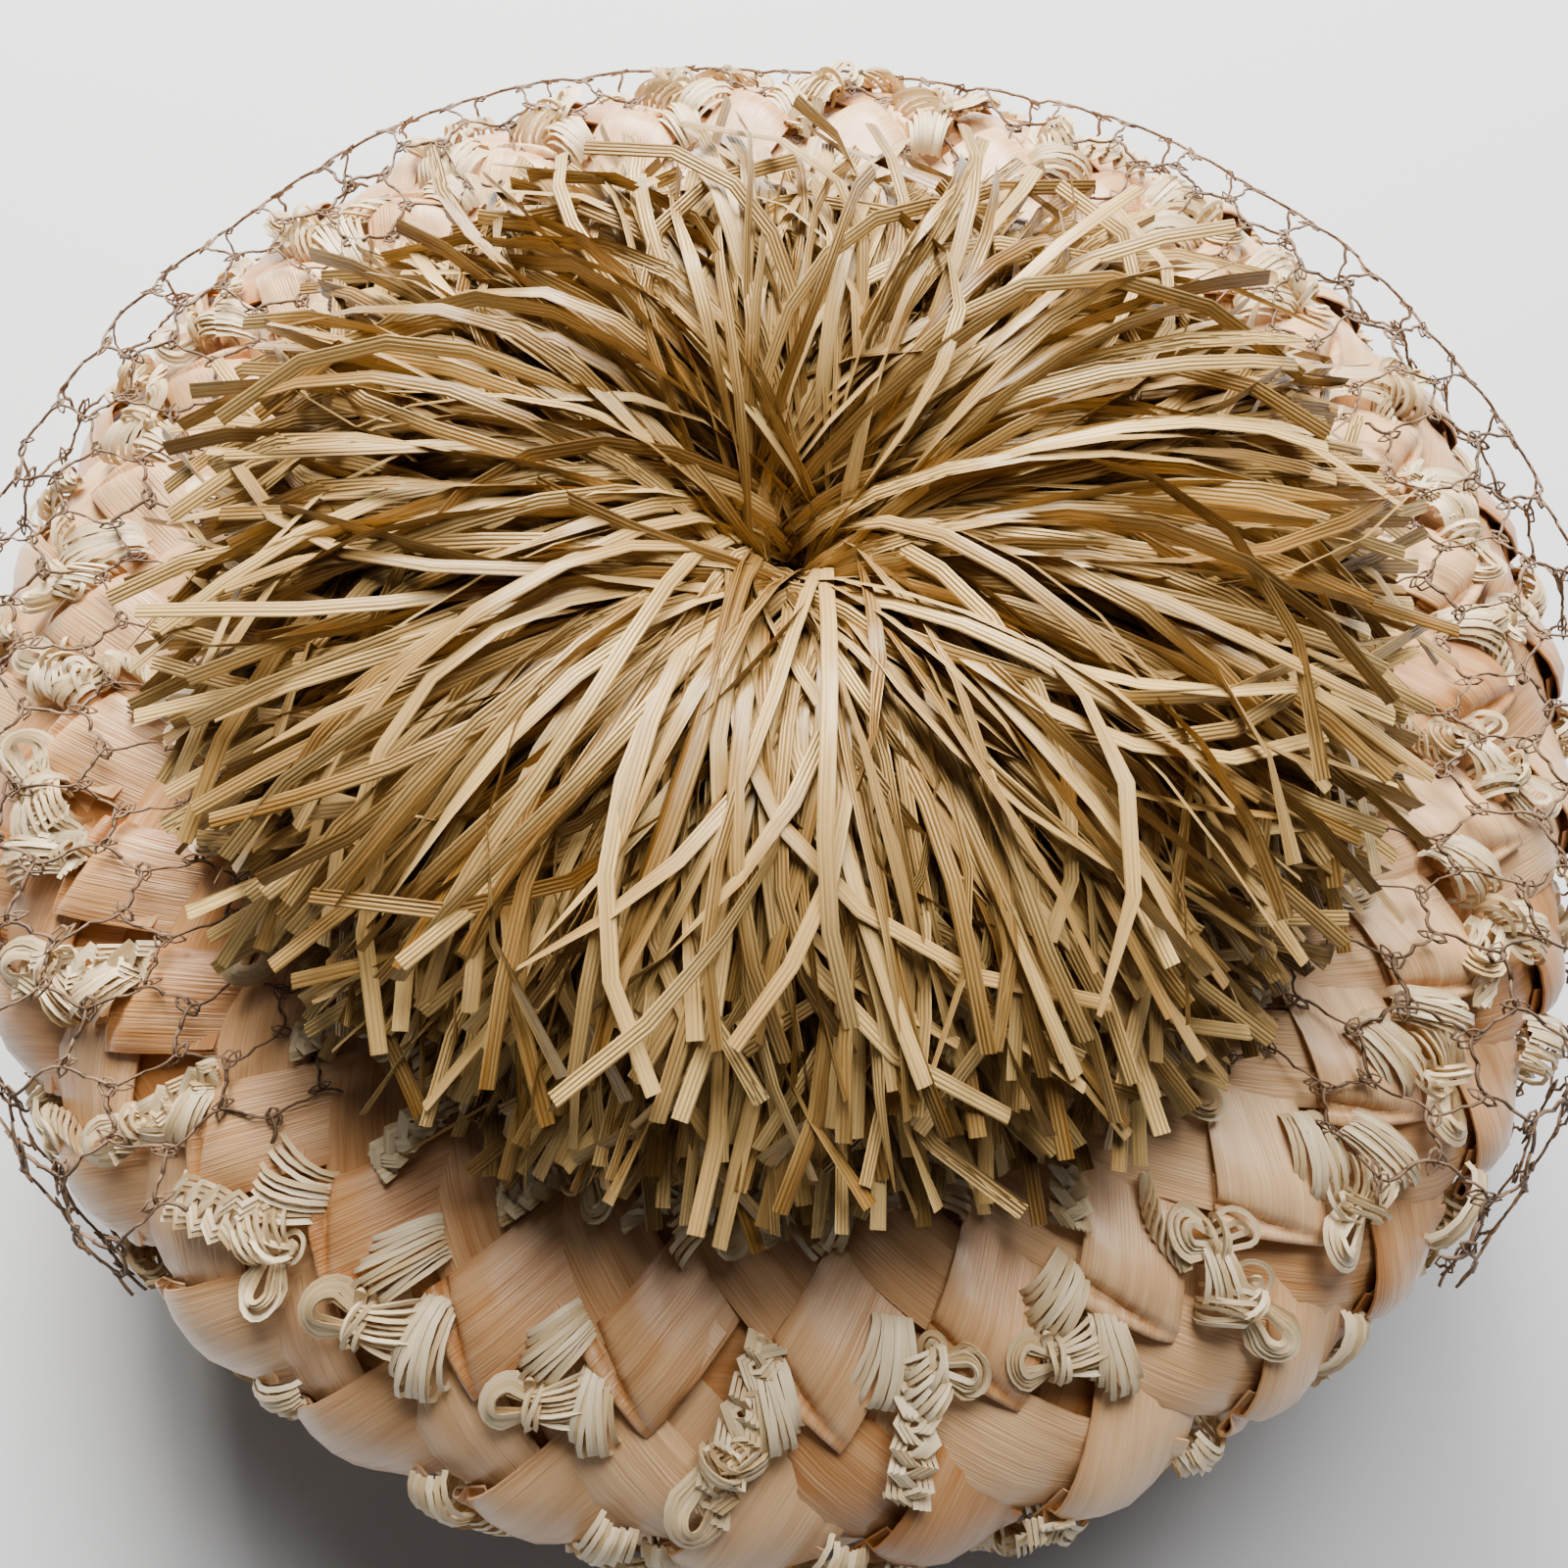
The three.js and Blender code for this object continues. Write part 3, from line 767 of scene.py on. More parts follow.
# The tiers of the mop, from the ribbons that lie low on the crown to the ones that arch over them.
# Rises and ends are angles in radians.
MOP_COLUMNS = (
    "Tie Height", "Tie Radius", "Least Length", "Most Length", "Lowest Rise", "Highest Rise",
    "Flattest End", "Steepest End", "Ribbons", "Clump", "Stray", "Seed",
)
MOP_TIERS = [
    (88 * MM, 7 * MM, 48 * MM, 60 * MM, -0.1, 0.4, -0.3, -0.45, 2000, 0.03, 0.5, 3),
    (88 * MM, 6 * MM, 44 * MM, 63 * MM, 0.3, 0.85, -0.35, -0.6, 2600, 0.07, 0.7, 101),
    (88 * MM, 4.5 * MM, 28 * MM, 62 * MM, 0.8, 1.25, -0.45, -0.8, 2300, 0.09, 0.85, 211),
    (86 * MM, 6 * MM, 20 * MM, 34 * MM, 0.8, 1.35, 0.1, -0.4, 420, 0.11, 1.2, 307),
]


def make_section(name, corners):
    return helper_curve(name, [[(x * MM, y * MM, 0) for x, y in corners]], cyclic=True)


def make_mop():
    tree = build_mop_tree()
    section = make_section("ribbon_section", RIBBON_SECTION)
    for i, row in enumerate(MOP_TIERS, 1):
        values = dict(zip(MOP_COLUMNS, row), Section=section, Material=GLOSSY_RIBBON)
        tier = grow(f"mop_tier_{i}", tree, values)
        finish_piece(tier, "straw_ribbon", "straw_mop")


# The raffia. Its bundles are drawn flat, in millimetres, round the notch between two teeth, with
# angles in radians.

FLAT_ON_STRAW = 2.4  # how far the middle of a bundle stands off the shell
# A pad's filaments arch up and over by PAD_ARCH, narrow where they leave the notch and sag at the
# sides.
PAD_POINTS = 9
PAD_ARCH = 1.17 * math.pi
PAD_HIGH = (1.7, 2.4)
PAD_CURVE = 1.3
PAD_ROOT = 0.6
PAD_SHORTER = 0.6
PAD_SAG = 2.4
PAD_UNEVEN = {"reach": 0.4, "lift": 0.25, "sway": 0.25}
# A hook's filaments go round one bend. The innermost has HOOK_INNER of the radius of the outermost.
HOOK_BEND_POINTS = 9
HOOK_INNER = 0.32
HOOK_PINCH = (0.4, 0.75)
HOOK_TIP_UP = (0.8, 1.8)
HOOK_TILT = 1.3
HOOK_UP = 0.9
HOOK_SAG = 0.7
HOOK_UNEVEN = {"run": 0.35, "lift": 0.2}
# What comes out of a bow, as ranges, and the band of filaments that binds it.
BOW_HOOK = {"length": (4.2, 6.2), "radius": (1.9, 2.6), "filaments": 5}
BOW_PAD = {"turn": (1.6, 4.4), "length": (4.5, 6.5), "wide": (4, 6), "filaments": 8, "up": 0.3}
BOW_LOOP = {"turn": (0.8, 5.4), "length": (3, 5), "radius": (1.0, 1.8), "filaments": 2}
BOW_BAND = {"place": (-0.5, 1.8), "length": 4.0, "wide": 1.7, "filaments": 3, "up": 0.9}
# A plait's strands cross once in every PLAIT_TURN of its length.
PLAIT_POINTS = 13
PLAIT_TURN = 5.2
PLAIT_HALF_WIDTH = 1.6
PLAIT_FILAMENTS_APART = 0.55
PLAIT_THICK = 0.7
PLAIT_ARCH = 0.9
PLAIT_UP = 0.6
# A cord's filaments twist round each other, and it is thin at both ends.
CORD_POINTS = 11
CORD_FILAMENTS = 6
CORD_TURNS = (0.9, 1.4)
CORD_BULGE = (0.8, 1.2)
CORD_ARCH = 1.6
CORD_END = 0.35
CORD_BLUNT = 0.05
CORD_UP = 0.5


def turned(x, y, angle):
    return x * math.cos(angle) - y * math.sin(angle), x * math.sin(angle) + y * math.cos(angle)


def pad(rng, x, y, angle, length, wide, count=9, base=0.0):
    """Filaments laid side by side that arch out of the notch, fan out and fold back under."""
    splines = []
    curve = rng.uniform(-PAD_CURVE, PAD_CURVE)
    high = rng.uniform(*PAD_HIGH)
    for k in range(count):
        u = k / (count - 1) - 0.5
        reach = length * (1 - PAD_SHORTER * u * u) + rng.uniform(-PAD_UNEVEN["reach"], PAD_UNEVEN["reach"])
        lift = base - PAD_SAG * u * u + rng.uniform(-PAD_UNEVEN["lift"], PAD_UNEVEN["lift"])
        sway = rng.uniform(-PAD_UNEVEN["sway"], PAD_UNEVEN["sway"])
        points = []
        for i in range(PAD_POINTS):
            a = PAD_ARCH * i / (PAD_POINTS - 1)
            t = (1 - math.cos(a)) / 2
            aside = u * wide * (PAD_ROOT + (1 - PAD_ROOT) * t) + curve * t * t + sway * math.sin(2 * a)
            dx, dy = turned(reach * t, aside, angle)
            points.append((x + dx, y + dy, FLAT_ON_STRAW + lift + high * math.sin(a)))
        splines.append(points)
    return splines


def hook(rng, x, y, angle, length, radius, count=6):
    """Filaments that go out side by side, turn round in one bend and come back."""
    splines = []
    pinch = rng.uniform(*HOOK_PINCH)
    tip_up = rng.uniform(*HOOK_TIP_UP)
    tilt = rng.uniform(-HOOK_TILT, HOOK_TILT)
    for k in range(count):
        share = HOOK_INNER + (1 - HOOK_INNER) * k / max(count - 1, 1)
        r = radius * share
        run = length - radius + rng.uniform(-HOOK_UNEVEN["run"], HOOK_UNEVEN["run"])
        half = r * (0.5 + pinch / 2)
        plan = [(0.0, -r * pinch), (run * 0.5, -half)]
        for i in range(HOOK_BEND_POINTS):
            a = math.pi * i / (HOOK_BEND_POINTS - 1)
            plan.append((run + r * math.sin(a), -r * math.cos(a)))
        plan += [(run * 0.5, half), (0.0, r * pinch)]
        lift = rng.uniform(-HOOK_UNEVEN["lift"], HOOK_UNEVEN["lift"]) - HOOK_SAG * share
        points = []
        for i, (px, py) in enumerate(plan):
            rise = tip_up * math.sin(math.pi * i / (len(plan) - 1)) + tilt * py / radius
            dx, dy = turned(px, py, angle)
            points.append((x + dx, y + dy, FLAT_ON_STRAW + HOOK_UP + rise + lift))
        splines.append(points)
    return splines


def bow(rng, x, y, angle):
    """A small knot with a hook, a pad and a loose loop out of it, and the filaments that bind them."""
    length, radius = [rng.uniform(*BOW_HOOK[size]) for size in ("length", "radius")]
    splines = hook(rng, x, y, angle, length, radius, BOW_HOOK["filaments"])
    turn, length, wide = [rng.uniform(*BOW_PAD[size]) for size in ("turn", "length", "wide")]
    splines += pad(rng, x, y, angle + turn, length, wide, BOW_PAD["filaments"], BOW_PAD["up"])
    turn, length, radius = [rng.uniform(*BOW_LOOP[size]) for size in ("turn", "length", "radius")]
    splines += hook(rng, x, y, angle + turn, length, radius, BOW_LOOP["filaments"])
    dx, dy = turned(*BOW_BAND["place"], angle)
    band = [BOW_BAND[size] for size in ("length", "wide", "filaments", "up")]
    return splines + pad(rng, x + dx, y + dy, angle - math.pi / 2, *band)


def plait(rng, x, y, angle, length):
    """A flat plait of three strands, each of three filaments."""
    splines = []
    turns = length / PLAIT_TURN
    for strand in range(3):
        for k in range(3):
            points = []
            for i in range(PLAIT_POINTS):
                t = i / (PLAIT_POINTS - 1)
                a = TAU * turns * t + TAU * strand / 3
                side = PLAIT_HALF_WIDTH * math.sin(a) + PLAIT_FILAMENTS_APART * (k - 1)
                lift = PLAIT_THICK * math.sin(2 * a) + PLAIT_ARCH * math.sin(math.pi * t)
                dx, dy = turned(length * t, side, angle)
                points.append((x + dx, y + dy, FLAT_ON_STRAW + PLAIT_UP + lift))
            splines.append(points)
    return splines


def cord(rng, x, y, angle, length):
    """A short cord of twisted filaments."""
    splines = []
    turns = rng.uniform(*CORD_TURNS)
    bulge = rng.uniform(*CORD_BULGE)
    arch = rng.uniform(-CORD_ARCH, CORD_ARCH)
    for k in range(CORD_FILAMENTS):
        points = []
        for i in range(CORD_POINTS):
            t = i / (CORD_POINTS - 1)
            a = TAU * (turns * t + k / CORD_FILAMENTS)
            within = min(max(t, CORD_BLUNT), 1 - CORD_BLUNT)
            thick = bulge * (CORD_END + (1 - CORD_END) * math.sin(math.pi * within))
            aside = thick * math.cos(a) + arch * math.sin(math.pi * t)
            dx, dy = turned(length * t, aside, angle)
            points.append((x + dx, y + dy, FLAT_ON_STRAW + CORD_UP + thick * math.sin(a)))
        splines.append(points)
    return splines


DOWN_LEFT = math.radians(232)
DOWN = math.radians(272)
DOWN_RIGHT = math.radians(308)
ALONG_TOOTH = math.radians(50)

# The ways in which a bundle is laid. Each part gives what it is, where it starts, which way it goes
# and its length and width.
WAYS_TO_LAY = [
    [(pad, 1, 6, DOWN, 7, 6), (bow, -1, -3, 3.4), (cord, -8, -8, ALONG_TOOTH, 8)],
    [(pad, 2, 5, DOWN_LEFT, 8, 6.5), (plait, -5, -8, ALONG_TOOTH, 11), (bow, 4, -1, 5.6)],
    [(pad, -1, 6, DOWN_RIGHT, 7, 5.5), (pad, 1, 1, DOWN_LEFT, 8, 6), (bow, 2, -4, 5.2)],
    [(bow, 1, 3, 1.9), (bow, -2, -3, 4.4), (cord, -3, 4, 0.9, 9)],
    [(plait, -5, -7, ALONG_TOOTH, 14), (pad, 3, 2, DOWN, 7, 5.5), (bow, -3, -4, 3.9)],
    [(pad, 0, 6, DOWN_LEFT, 8, 6), (pad, 3, 2, DOWN, 8, 5), (bow, -3, -3, 3.2)],
    [(pad, 0, 5, DOWN, 9, 6.5), (cord, -8, -3, 0.1, 9), (bow, 2, -4, 5.3)],
]
BUNDLE_SHAPES = 21
# A filament in section, in millimetres: flat below and rounded above.
FILAMENT_SECTION = [(-0.29, -0.12), (0, 0.3), (0.29, -0.12)]


def bundle_splines(way, rng):
    splines = []
    for part, x, y, angle, *size in way:
        splines += part(rng, x, y, angle, *size)
    return [[Vector(point) * MM for point in points] for points in splines]


# How far a bundle may stray from its notch, turn, in radians, and grow or shrink.
BUNDLE_STRAY_LOW = (-1.4 * MM, -1.6 * MM, -0.2 * MM)
BUNDLE_STRAY_HIGH = (1.4 * MM, 1.0 * MM, 0.3 * MM)
BUNDLE_TURN = Vector((0, 0, 0.6))
BUNDLE_SCALE = (0.9, 1.2)


def build_raffia_tree():
    """The raffia along one course: a bundle in each notch, picked and placed by chance."""
    tree, given = new_tree(
        "raffia_row",
        {
            "Shapes": "Collection", "Section": "Object", "Outline": "Object",
            "Material": "Material", "Teeth": TEETH, "Tooth Step": TOOTH_STEP, "Notch Arc": 0.1,
            "Phase": 0.0, "Seed": 1,
        },
    )
    seed = given["Seed"]
    notches = points_round_crown(tree, given, given["Notch Arc"])
    stray = add(
        tree, RANDOM, {0: BUNDLE_STRAY_LOW, 1: BUNDLE_STRAY_HIGH, "Seed": seed}, data_type="FLOAT_VECTOR"
    )
    placed = add(tree, SET_POSITION, {"Geometry": notches, "Offset": stray})
    pick = add(tree, RANDOM, {4: 0, 5: BUNDLE_SHAPES - 1, "Seed": seed}, data_type="INT").outputs[2]
    turn = add(tree, RANDOM, {0: -BUNDLE_TURN, 1: BUNDLE_TURN, "Seed": seed}, data_type="FLOAT_VECTOR")
    smallest, biggest = BUNDLE_SCALE
    scale = add(tree, RANDOM, {2: smallest, 3: biggest, "Seed": seed}).outputs[1]
    bundles = place_shapes(
        tree, placed, given["Shapes"], {"Instance Index": pick, "Rotation": turn, "Scale": scale}
    )
    real = add(tree, REALIZE, {"Geometry": bundles})
    toned = give_tone(tree, real, seed, "CURVE")
    run = add(tree, "GeometryNodeSplineParameter").outputs["Length"]
    kept = add(tree, STORE, {"Geometry": toned, "Name": "along", "Value": run})
    laid = add(tree, GROUP, {"Geometry": kept, "Outline": given["Outline"]}, node_tree=LAY_ON_CROWN)
    end_tree(tree, sweep(tree, laid, given["Section"]), given["Material"])
    return tree


RAFFIA_ROWS = 4
BUNDLE_SEED = 8
ROW_SEED = 60
NOTCH_PHASE = 0.42  # from a tooth's tip to the notch on its right, in tooth steps
NOTCH_RISE = 5 * MM  # from the tips up to the middle of the notch


def make_raffia():
    rng = random.Random(BUNDLE_SEED)
    shapes = []
    for i in range(BUNDLE_SHAPES):
        way = WAYS_TO_LAY[i % len(WAYS_TO_LAY)]
        shapes.append(helper_curve(f"bundle_shape_{i}", bundle_splines(way, rng)))
    bundles = helper_collection("bundle_shapes", shapes)
    section = make_section("filament_section", FILAMENT_SECTION)
    tree = build_raffia_tree()
    for i in range(RAFFIA_ROWS + 1):
        raffia = grow(
            f"raffia_row_{i}",
            tree,
            {
                "Shapes": bundles,
                "Section": section,
                "Outline": OUTLINE_GUIDE,
                "Material": CREAM_RAFFIA,
                "Notch Arc": FIRST_TEETH_ARC + (i - 1) * COURSE_PITCH - NOTCH_RISE,
                "Phase": 0.5 * (i % 2) + NOTCH_PHASE,
                "Seed": ROW_SEED + i,
            },
        )
        # The row next to the mop has no solid of its own.
        replaced = [f"raffia_rope_{i}"] if i else []
        finish_piece(raffia, "cream_raffia", *replaced)


# The veil.

HEX_SIDE = 5.5 * MM
CELL_WIDE = HEX_SIDE * math.sqrt(3)
THREAD_R = 0.21 * MM
THREAD_SIDES = 3
THREAD_SWAY = 0.5  # in millimetres
# Where a half thread has its rings, as shares of its length. It ends just inside the next one.
THREAD_STATIONS = (0, 0.33, 0.67, 1.02)
KNOT_THREAD_R = 0.14 * MM
KNOT_LOOPS = 2
KNOT_STEPS = 6
# The loops of a knot, in millimetres.
KNOT_LONG = (0.9, 1.6)
KNOT_WIDE = (0.35, 0.75)
KNOT_TIP = 0.4
KNOT_SHIFT = 0.4
KNOT_SHAPES = 4
UPPER_SEED = 20
LOWER_SEED = 30
VEIL_TOP_ARC = 58 * MM
VEIL_ROWS = 11
# How far to the right and to the left of the front the veil begins.
OPEN_RIGHT = math.radians(45)
OPEN_LEFT = math.radians(35)
# How the veil hangs. It is clear of the straw after the first quarter, stands off less in front and
# behind than at the sides, and is never nearer than NEAREST.
CLEAR_AFTER = 4.0
CLEAR_SOFTNESS = 0.5
FLARE_POWER = 2.5
LEAST_STAND = 0.35
NEAREST = 2.4 * MM
FOLDS_PER_METRE = 24.0
FOLD_MIDDLE = 0.45
PULLS_PER_METRE = 55.0


def tube(points, radius, sides):
    """The vertices and faces of a round thread through these points."""
    vertices, faces = [], []
    last = len(points) - 1
    for i, point in enumerate(points):
        ahead = points[min(i + 1, last)] - points[max(i - 1, 0)]
        across = ahead.cross(Vector((0, 0, 1))).normalized()
        over = across.cross(ahead).normalized()
        for k in range(sides):
            a = TAU * k / sides
            vertices.append(point + (across * math.cos(a) + over * math.sin(a)) * radius)
    for i in range(last):
        for k in range(sides):
            n = (k + 1) % sides
            faces.append([i * sides + k, (i + 1) * sides + k, (i + 1) * sides + n, i * sides + n])
    faces.append(list(range(sides)))
    faces.append([last * sides + k for k in reversed(range(sides))])
    return vertices, faces


def net_unit(name, points_down, seed):
    """One junction of the net: three half threads and the tangled knot that ties them, drawn flat."""
    rng = random.Random(seed)
    vertices, faces = [], []

    def lay(points, radius):
        more, ends = tube(points, radius, THREAD_SIDES)
        first = len(vertices)
        vertices.extend(more)
        faces.extend([[first + i for i in face] for face in ends])

    for k in range(3):
        a = math.pi / 2 * (-1 if points_down else 1) + TAU * k / 3
        reach = Vector((math.cos(a), math.sin(a), 0))
        side = Vector((-reach.y, reach.x, 0))
        sway = rng.uniform(-THREAD_SWAY, THREAD_SWAY) * MM
        half = HEX_SIDE / 2
        lay([reach * (half * t) + side * (sway * math.sin(math.pi * t)) for t in THREAD_STATIONS], THREAD_R)
    for _ in range(KNOT_LOOPS):
        long = rng.uniform(*KNOT_LONG) * MM
        wide = rng.uniform(*KNOT_WIDE) * MM
        lean = rng.uniform(0, math.pi)
        tip = rng.uniform(-KNOT_TIP, KNOT_TIP) * MM
        shift = Vector([rng.uniform(-KNOT_SHIFT, KNOT_SHIFT) for _ in range(2)] + [0]) * MM
        loop = []
        for i in range(KNOT_STEPS + 1):
            a = TAU * i / KNOT_STEPS
            dx, dy = turned(long * math.cos(a), wide * math.sin(a), lean)
            loop.append(shift + Vector((dx, dy, tip * math.cos(a))))
        lay(loop, KNOT_THREAD_R)
    along = [v[0] + v[1] for v in vertices]
    across = [v[0] - v[1] for v in vertices]
    return bpy.data.objects.new(name, smooth_mesh(name, vertices, faces, along=along, across=across))


def build_veil_tree():
    """A net of hexagons: two junctions to a cell, drawn flat and laid over the crown at a distance
    that grows towards the free edge. It opens a little wider at the front as it goes down."""
    tree, given = new_tree(
        "veil_net",
        {
            "Upper Joints": "Collection", "Lower Joints": "Collection", "Outline": "Object",
            "Material": "Material", "Columns": 50, "Rows": VEIL_ROWS, "Hexagon Side": HEX_SIDE,
            "Top Arc": VEIL_TOP_ARC, "First Edge": 0.06, "Middle": 0.28, "Draw In": 0.09,
            "Stand Off": 8.0 * MM, "Hem Flare": 8 * MM, "Billow": 12 * MM, "Drift": 6 * MM,
            "Seed": 5,
        },
    )
    cell = add(tree, "MULTIPLY", (given["Hexagon Side"], math.sqrt(3)))
    row_high = add(tree, "MULTIPLY", (given["Hexagon Side"], 1.5))
    count = add(tree, "MULTIPLY", (given["Columns"], given["Rows"]))
    points = add(tree, "GeometryNodePoints", {"Count": count})
    index = add(tree, "GeometryNodeInputIndex")
    row = add(tree, "DIVIDE", (index, given["Columns"]))
    row = add(tree, "FLOOR", (row,))
    before = add(tree, "MULTIPLY", (row, given["Columns"]))
    column = add(tree, "SUBTRACT", (index, before))
    odd = add(tree, "MODULO", (row, 2.0))
    x = add(tree, "MULTIPLY_ADD", (odd, 0.5, column))
    x = add(tree, "MULTIPLY_ADD", (x, cell, given["First Edge"]))
    arc = add(tree, "MULTIPLY_ADD", (row, row_high, given["Top Arc"]))
    joined = add(tree, "GeometryNodeJoinGeometry")
    for name, lower in (("Upper Joints", 0.0), ("Lower Joints", 1.0)):
        arc_here = add(tree, "MULTIPLY_ADD", (given["Hexagon Side"], lower, arc))
        y = add(tree, "MULTIPLY", (arc_here, -1.0))
        spot = add(tree, JOIN, (x, y))
        placed = add(tree, SET_POSITION, {"Geometry": points, "Position": spot})
        joints = place_shapes(tree, placed, given[name], {})
        tree.links.new(joints.outputs[0], joined.inputs[0])
    real = add(tree, REALIZE, {"Geometry": give_tone(tree, joined, given["Seed"], "INSTANCE")})

    # The share of the way down, from 0 at the top edge to 1 at the hem.
    place = add(tree, SPLIT, (add(tree, POSITION),)).outputs
    drawn = add(tree, "MULTIPLY", (place["Y"], -1.0))
    drawn = add(tree, "SUBTRACT", (drawn, given["Top Arc"]))
    length = add(tree, "MULTIPLY", (given["Rows"], row_high))
    share = add(tree, "DIVIDE", (drawn, length))
    share = add(tree, "MAXIMUM", (share, 0.0))

    # How far it stands off: soon clear of the straw, flared at the hem, and billowing in between.
    soon = add(tree, "MULTIPLY", (share, CLEAR_AFTER))
    soon = add(tree, "SMOOTH_MIN", (soon, 1.0, CLEAR_SOFTNESS))
    flare = add(tree, "POWER", (share, FLARE_POWER))
    folds = add(tree, NOISE, {"Scale": FOLDS_PER_METRE, "Detail": 1.0})
    billow = add(tree, "SUBTRACT", (folds, FOLD_MIDDLE))
    billow = add(tree, "MULTIPLY", (billow, share))
    angle = add(tree, "DIVIDE", (place["X"], WIDEST_R))
    sine = add(tree, "SINE", (angle,))
    sideways = add(tree, "ABSOLUTE", (sine,))
    sideways = add(tree, "MULTIPLY_ADD", (sideways, 1 - LEAST_STAND, LEAST_STAND))
    stands = add(tree, "MULTIPLY", (sideways, given["Stand Off"]))
    off = add(tree, "MULTIPLY_ADD", (soon, stands, place["Z"]))
    off = add(tree, "MULTIPLY_ADD", (flare, given["Hem Flare"], off))
    off = add(tree, "MULTIPLY_ADD", (billow, given["Billow"], off))
    off = add(tree, "MAXIMUM", (off, NEAREST))

    # The cells are pulled about, and drawn in towards the back of the hat lower down.
    pull = add(tree, SPLIT, (ripple(tree, PULLS_PER_METRE, given["Drift"]),)).outputs
    from_middle = add(tree, "SUBTRACT", (place["X"], given["Middle"]))
    drawn_in = add(tree, "MULTIPLY", (share, given["Draw In"]))
    narrow = add(tree, "MULTIPLY", (from_middle, drawn_in))
    x = add(tree, "SUBTRACT", (place["X"], narrow))
    x = add(tree, "ADD", (x, pull["X"]))
    y = add(tree, "ADD", (place["Y"], pull["Y"]))
    spot = add(tree, JOIN, (x, y, off))
    hung = add(tree, SET_POSITION, {"Geometry": real, "Position": spot})
    laid = add(tree, GROUP, {"Geometry": hung, "Outline": given["Outline"]}, node_tree=LAY_ON_CROWN)
    end_tree(tree, laid, given["Material"])
    return tree


def make_veil():
    upper = [net_unit(f"upper_joint_{i}", True, UPPER_SEED + i) for i in range(KNOT_SHAPES)]
    lower = [net_unit(f"lower_joint_{i}", False, LOWER_SEED + i) for i in range(KNOT_SHAPES)]
    sweep_round = TAU - OPEN_RIGHT - OPEN_LEFT
    width = sweep_round * WIDEST_R
    veil = grow(
        "veil_net",
        build_veil_tree(),
        {
            "Upper Joints": helper_collection("upper_joints", upper),
            "Lower Joints": helper_collection("lower_joints", lower),
            "Outline": OUTLINE_GUIDE,
            "Material": SILK_THREAD,
            "Columns": int(width / CELL_WIDE),
            "First Edge": OPEN_RIGHT * WIDEST_R,
            "Middle": (OPEN_RIGHT + sweep_round / 2) * WIDEST_R,
        },
    )
    finish_piece(veil, "veil_thread", "veil")


# The floor, the light and the camera.

FLOOR_SIZE = 2.4
FLOOR_COLOUR = "d4dae3"
FLOOR_ROUGHNESS = 0.9
ROOM_COLOUR = "e4e8f0"
# The room is pale near the horizon, and dim above and on the side that the lamps don't stand on, so
# that the light comes from the lamps. The first table gives how bright it is by how far up a
# direction points, and the second what share of that is left by how far it points to the back.
ROOM_BY_HEIGHT = {"From Min": 0.2, "From Max": 0.5, "To Min": 0.4, "To Max": 0.06}
ROOM_BY_SIDE = {"From Min": -0.5, "From Max": 0.3, "To Min": 0.5}
LAMPS = [
    {"name": "window", "place": (-0.14, 0.7, 0.58), "size": 0.4, "watts": 29, "colour": "fff6e8"},
    {"name": "ceiling", "place": (0.12, 0.42, 0.85), "size": 0.5, "watts": 14, "colour": "fffaf2"},
    {"name": "room_fill", "place": (0.1, -0.9, 0.5), "size": 0.8, "watts": 0.15, "colour": "eef2ff"},
]
LAMPS_AIM = Vector((0, 0, 0.05))


def make_floor():
    bpy.ops.mesh.primitive_plane_add(size=FLOOR_SIZE)
    floor = bpy.context.object
    floor.name = "floor"
    # Matte white paper: no shine and no grain that shows.
    material = bpy.data.materials.new("matte_white_paper")
    material.use_nodes = True
    shader = material.node_tree.nodes["Principled BSDF"]
    shader.inputs["Base Color"].default_value = linear(FLOOR_COLOUR)
    shader.inputs["Roughness"].default_value = FLOOR_ROUGHNESS
    floor.data.materials.append(material)


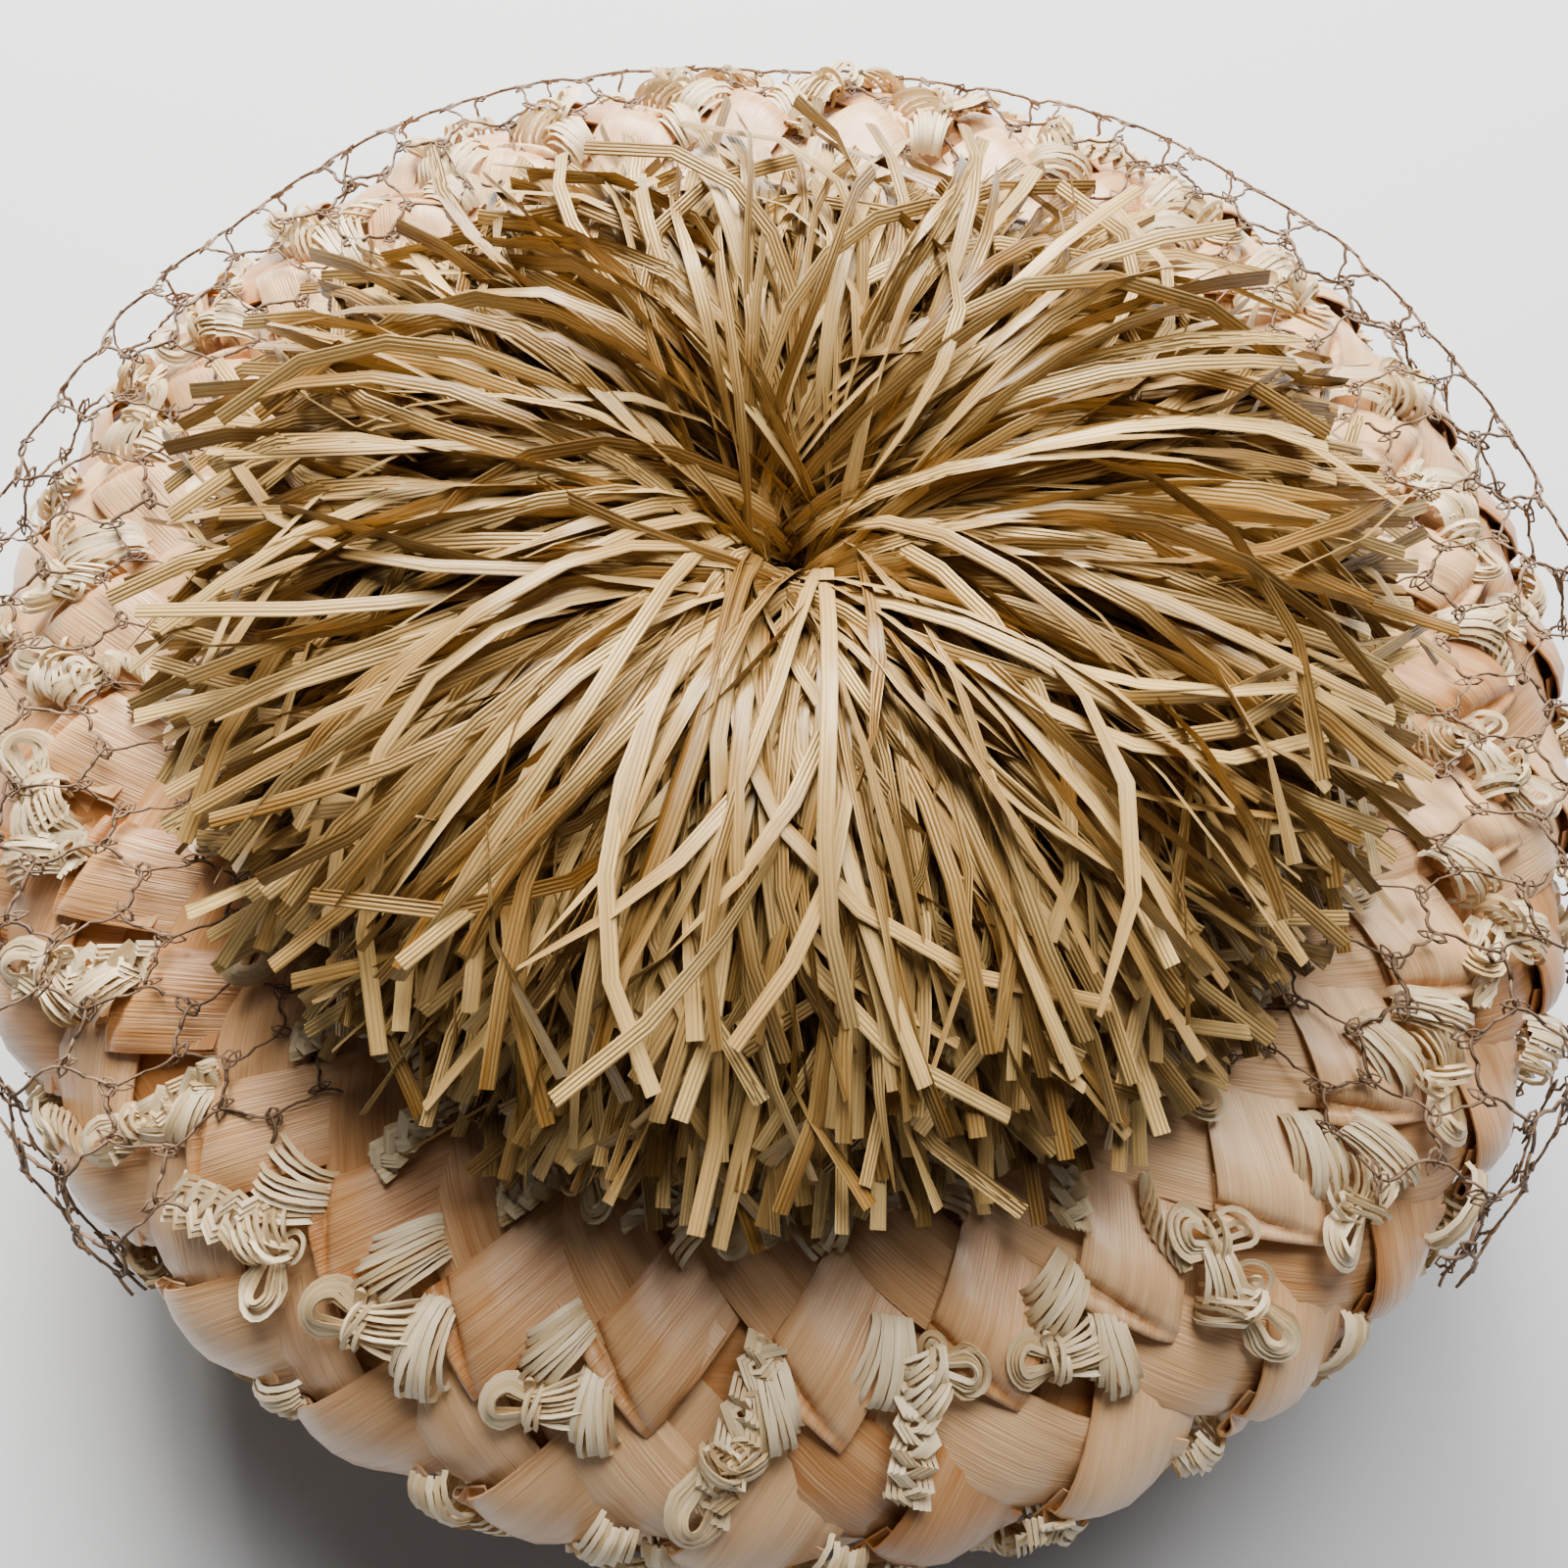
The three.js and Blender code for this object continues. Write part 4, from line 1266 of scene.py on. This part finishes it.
def make_room():
    world = bpy.data.worlds.new("pale_room")
    bpy.context.scene.world = world
    world.use_nodes = True
    tree = world.node_tree
    background = tree.nodes["Background"]
    background.inputs["Color"].default_value = linear(ROOM_COLOUR)
    way = add(tree, SPLIT, (add(tree, "ShaderNodeTexCoord").outputs["Generated"],)).outputs
    by_height = add(tree, MAP, {"Value": way["Z"], **ROOM_BY_HEIGHT})
    by_side = add(tree, MAP, {"Value": way["Y"], **ROOM_BY_SIDE})
    strength = add(tree, "MULTIPLY", (by_height, by_side))
    tree.links.new(strength.outputs[0], background.inputs["Strength"])


def make_lamps():
    for lamp in LAMPS:
        data = bpy.data.lights.new(lamp["name"], "AREA")
        data.size = lamp["size"]
        data.energy = lamp["watts"]
        data.color = linear(lamp["colour"])[:3]
        holder = link(bpy.data.objects.new(lamp["name"], data))
        holder.location = lamp["place"]
        holder.rotation_euler = (LAMPS_AIM - holder.location).to_track_quat("-Z", "Y").to_euler()


# The photo's camera: how far in front of the crown's axis and how high it stands, and how it turns.
CAMERA_BACK = 0.078
CAMERA_HIGH = 0.2328
CAMERA_PITCH = 1.198
CAMERA_YAW = 0.01
CAMERA_ROLL = 0.053
CAMERA_FOCUS_PX = 1608.6
FRAME_PX = 1600
SENSOR_MM = 36


def make_camera():
    cp, sp = math.cos(CAMERA_PITCH), math.sin(CAMERA_PITCH)
    cy, sy = math.cos(CAMERA_YAW), math.sin(CAMERA_YAW)
    ahead = Vector((sy * cp, cy * cp, -sp))
    right = Vector((cy, -sy, 0))
    up = right.cross(ahead)
    cr, sr = math.cos(CAMERA_ROLL), math.sin(CAMERA_ROLL)
    right, up = right * cr + up * sr, up * cr - right * sr
    data = bpy.data.cameras.new("photo_camera")
    data.sensor_width = SENSOR_MM
    data.lens = SENSOR_MM * CAMERA_FOCUS_PX / FRAME_PX
    data.clip_start = 0.01
    camera = link(bpy.data.objects.new("photo_camera", data))
    facing = Matrix((right, up, -ahead)).transposed().to_4x4()
    camera.matrix_world = Matrix.Translation(AXIS + Vector((0, -CAMERA_BACK, CAMERA_HIGH))) @ facing
    bpy.context.scene.camera = camera


make_camera()
make_backing()
make_courses()
make_raffia()
make_mop()
make_veil()
make_floor()
make_room()
make_lamps()
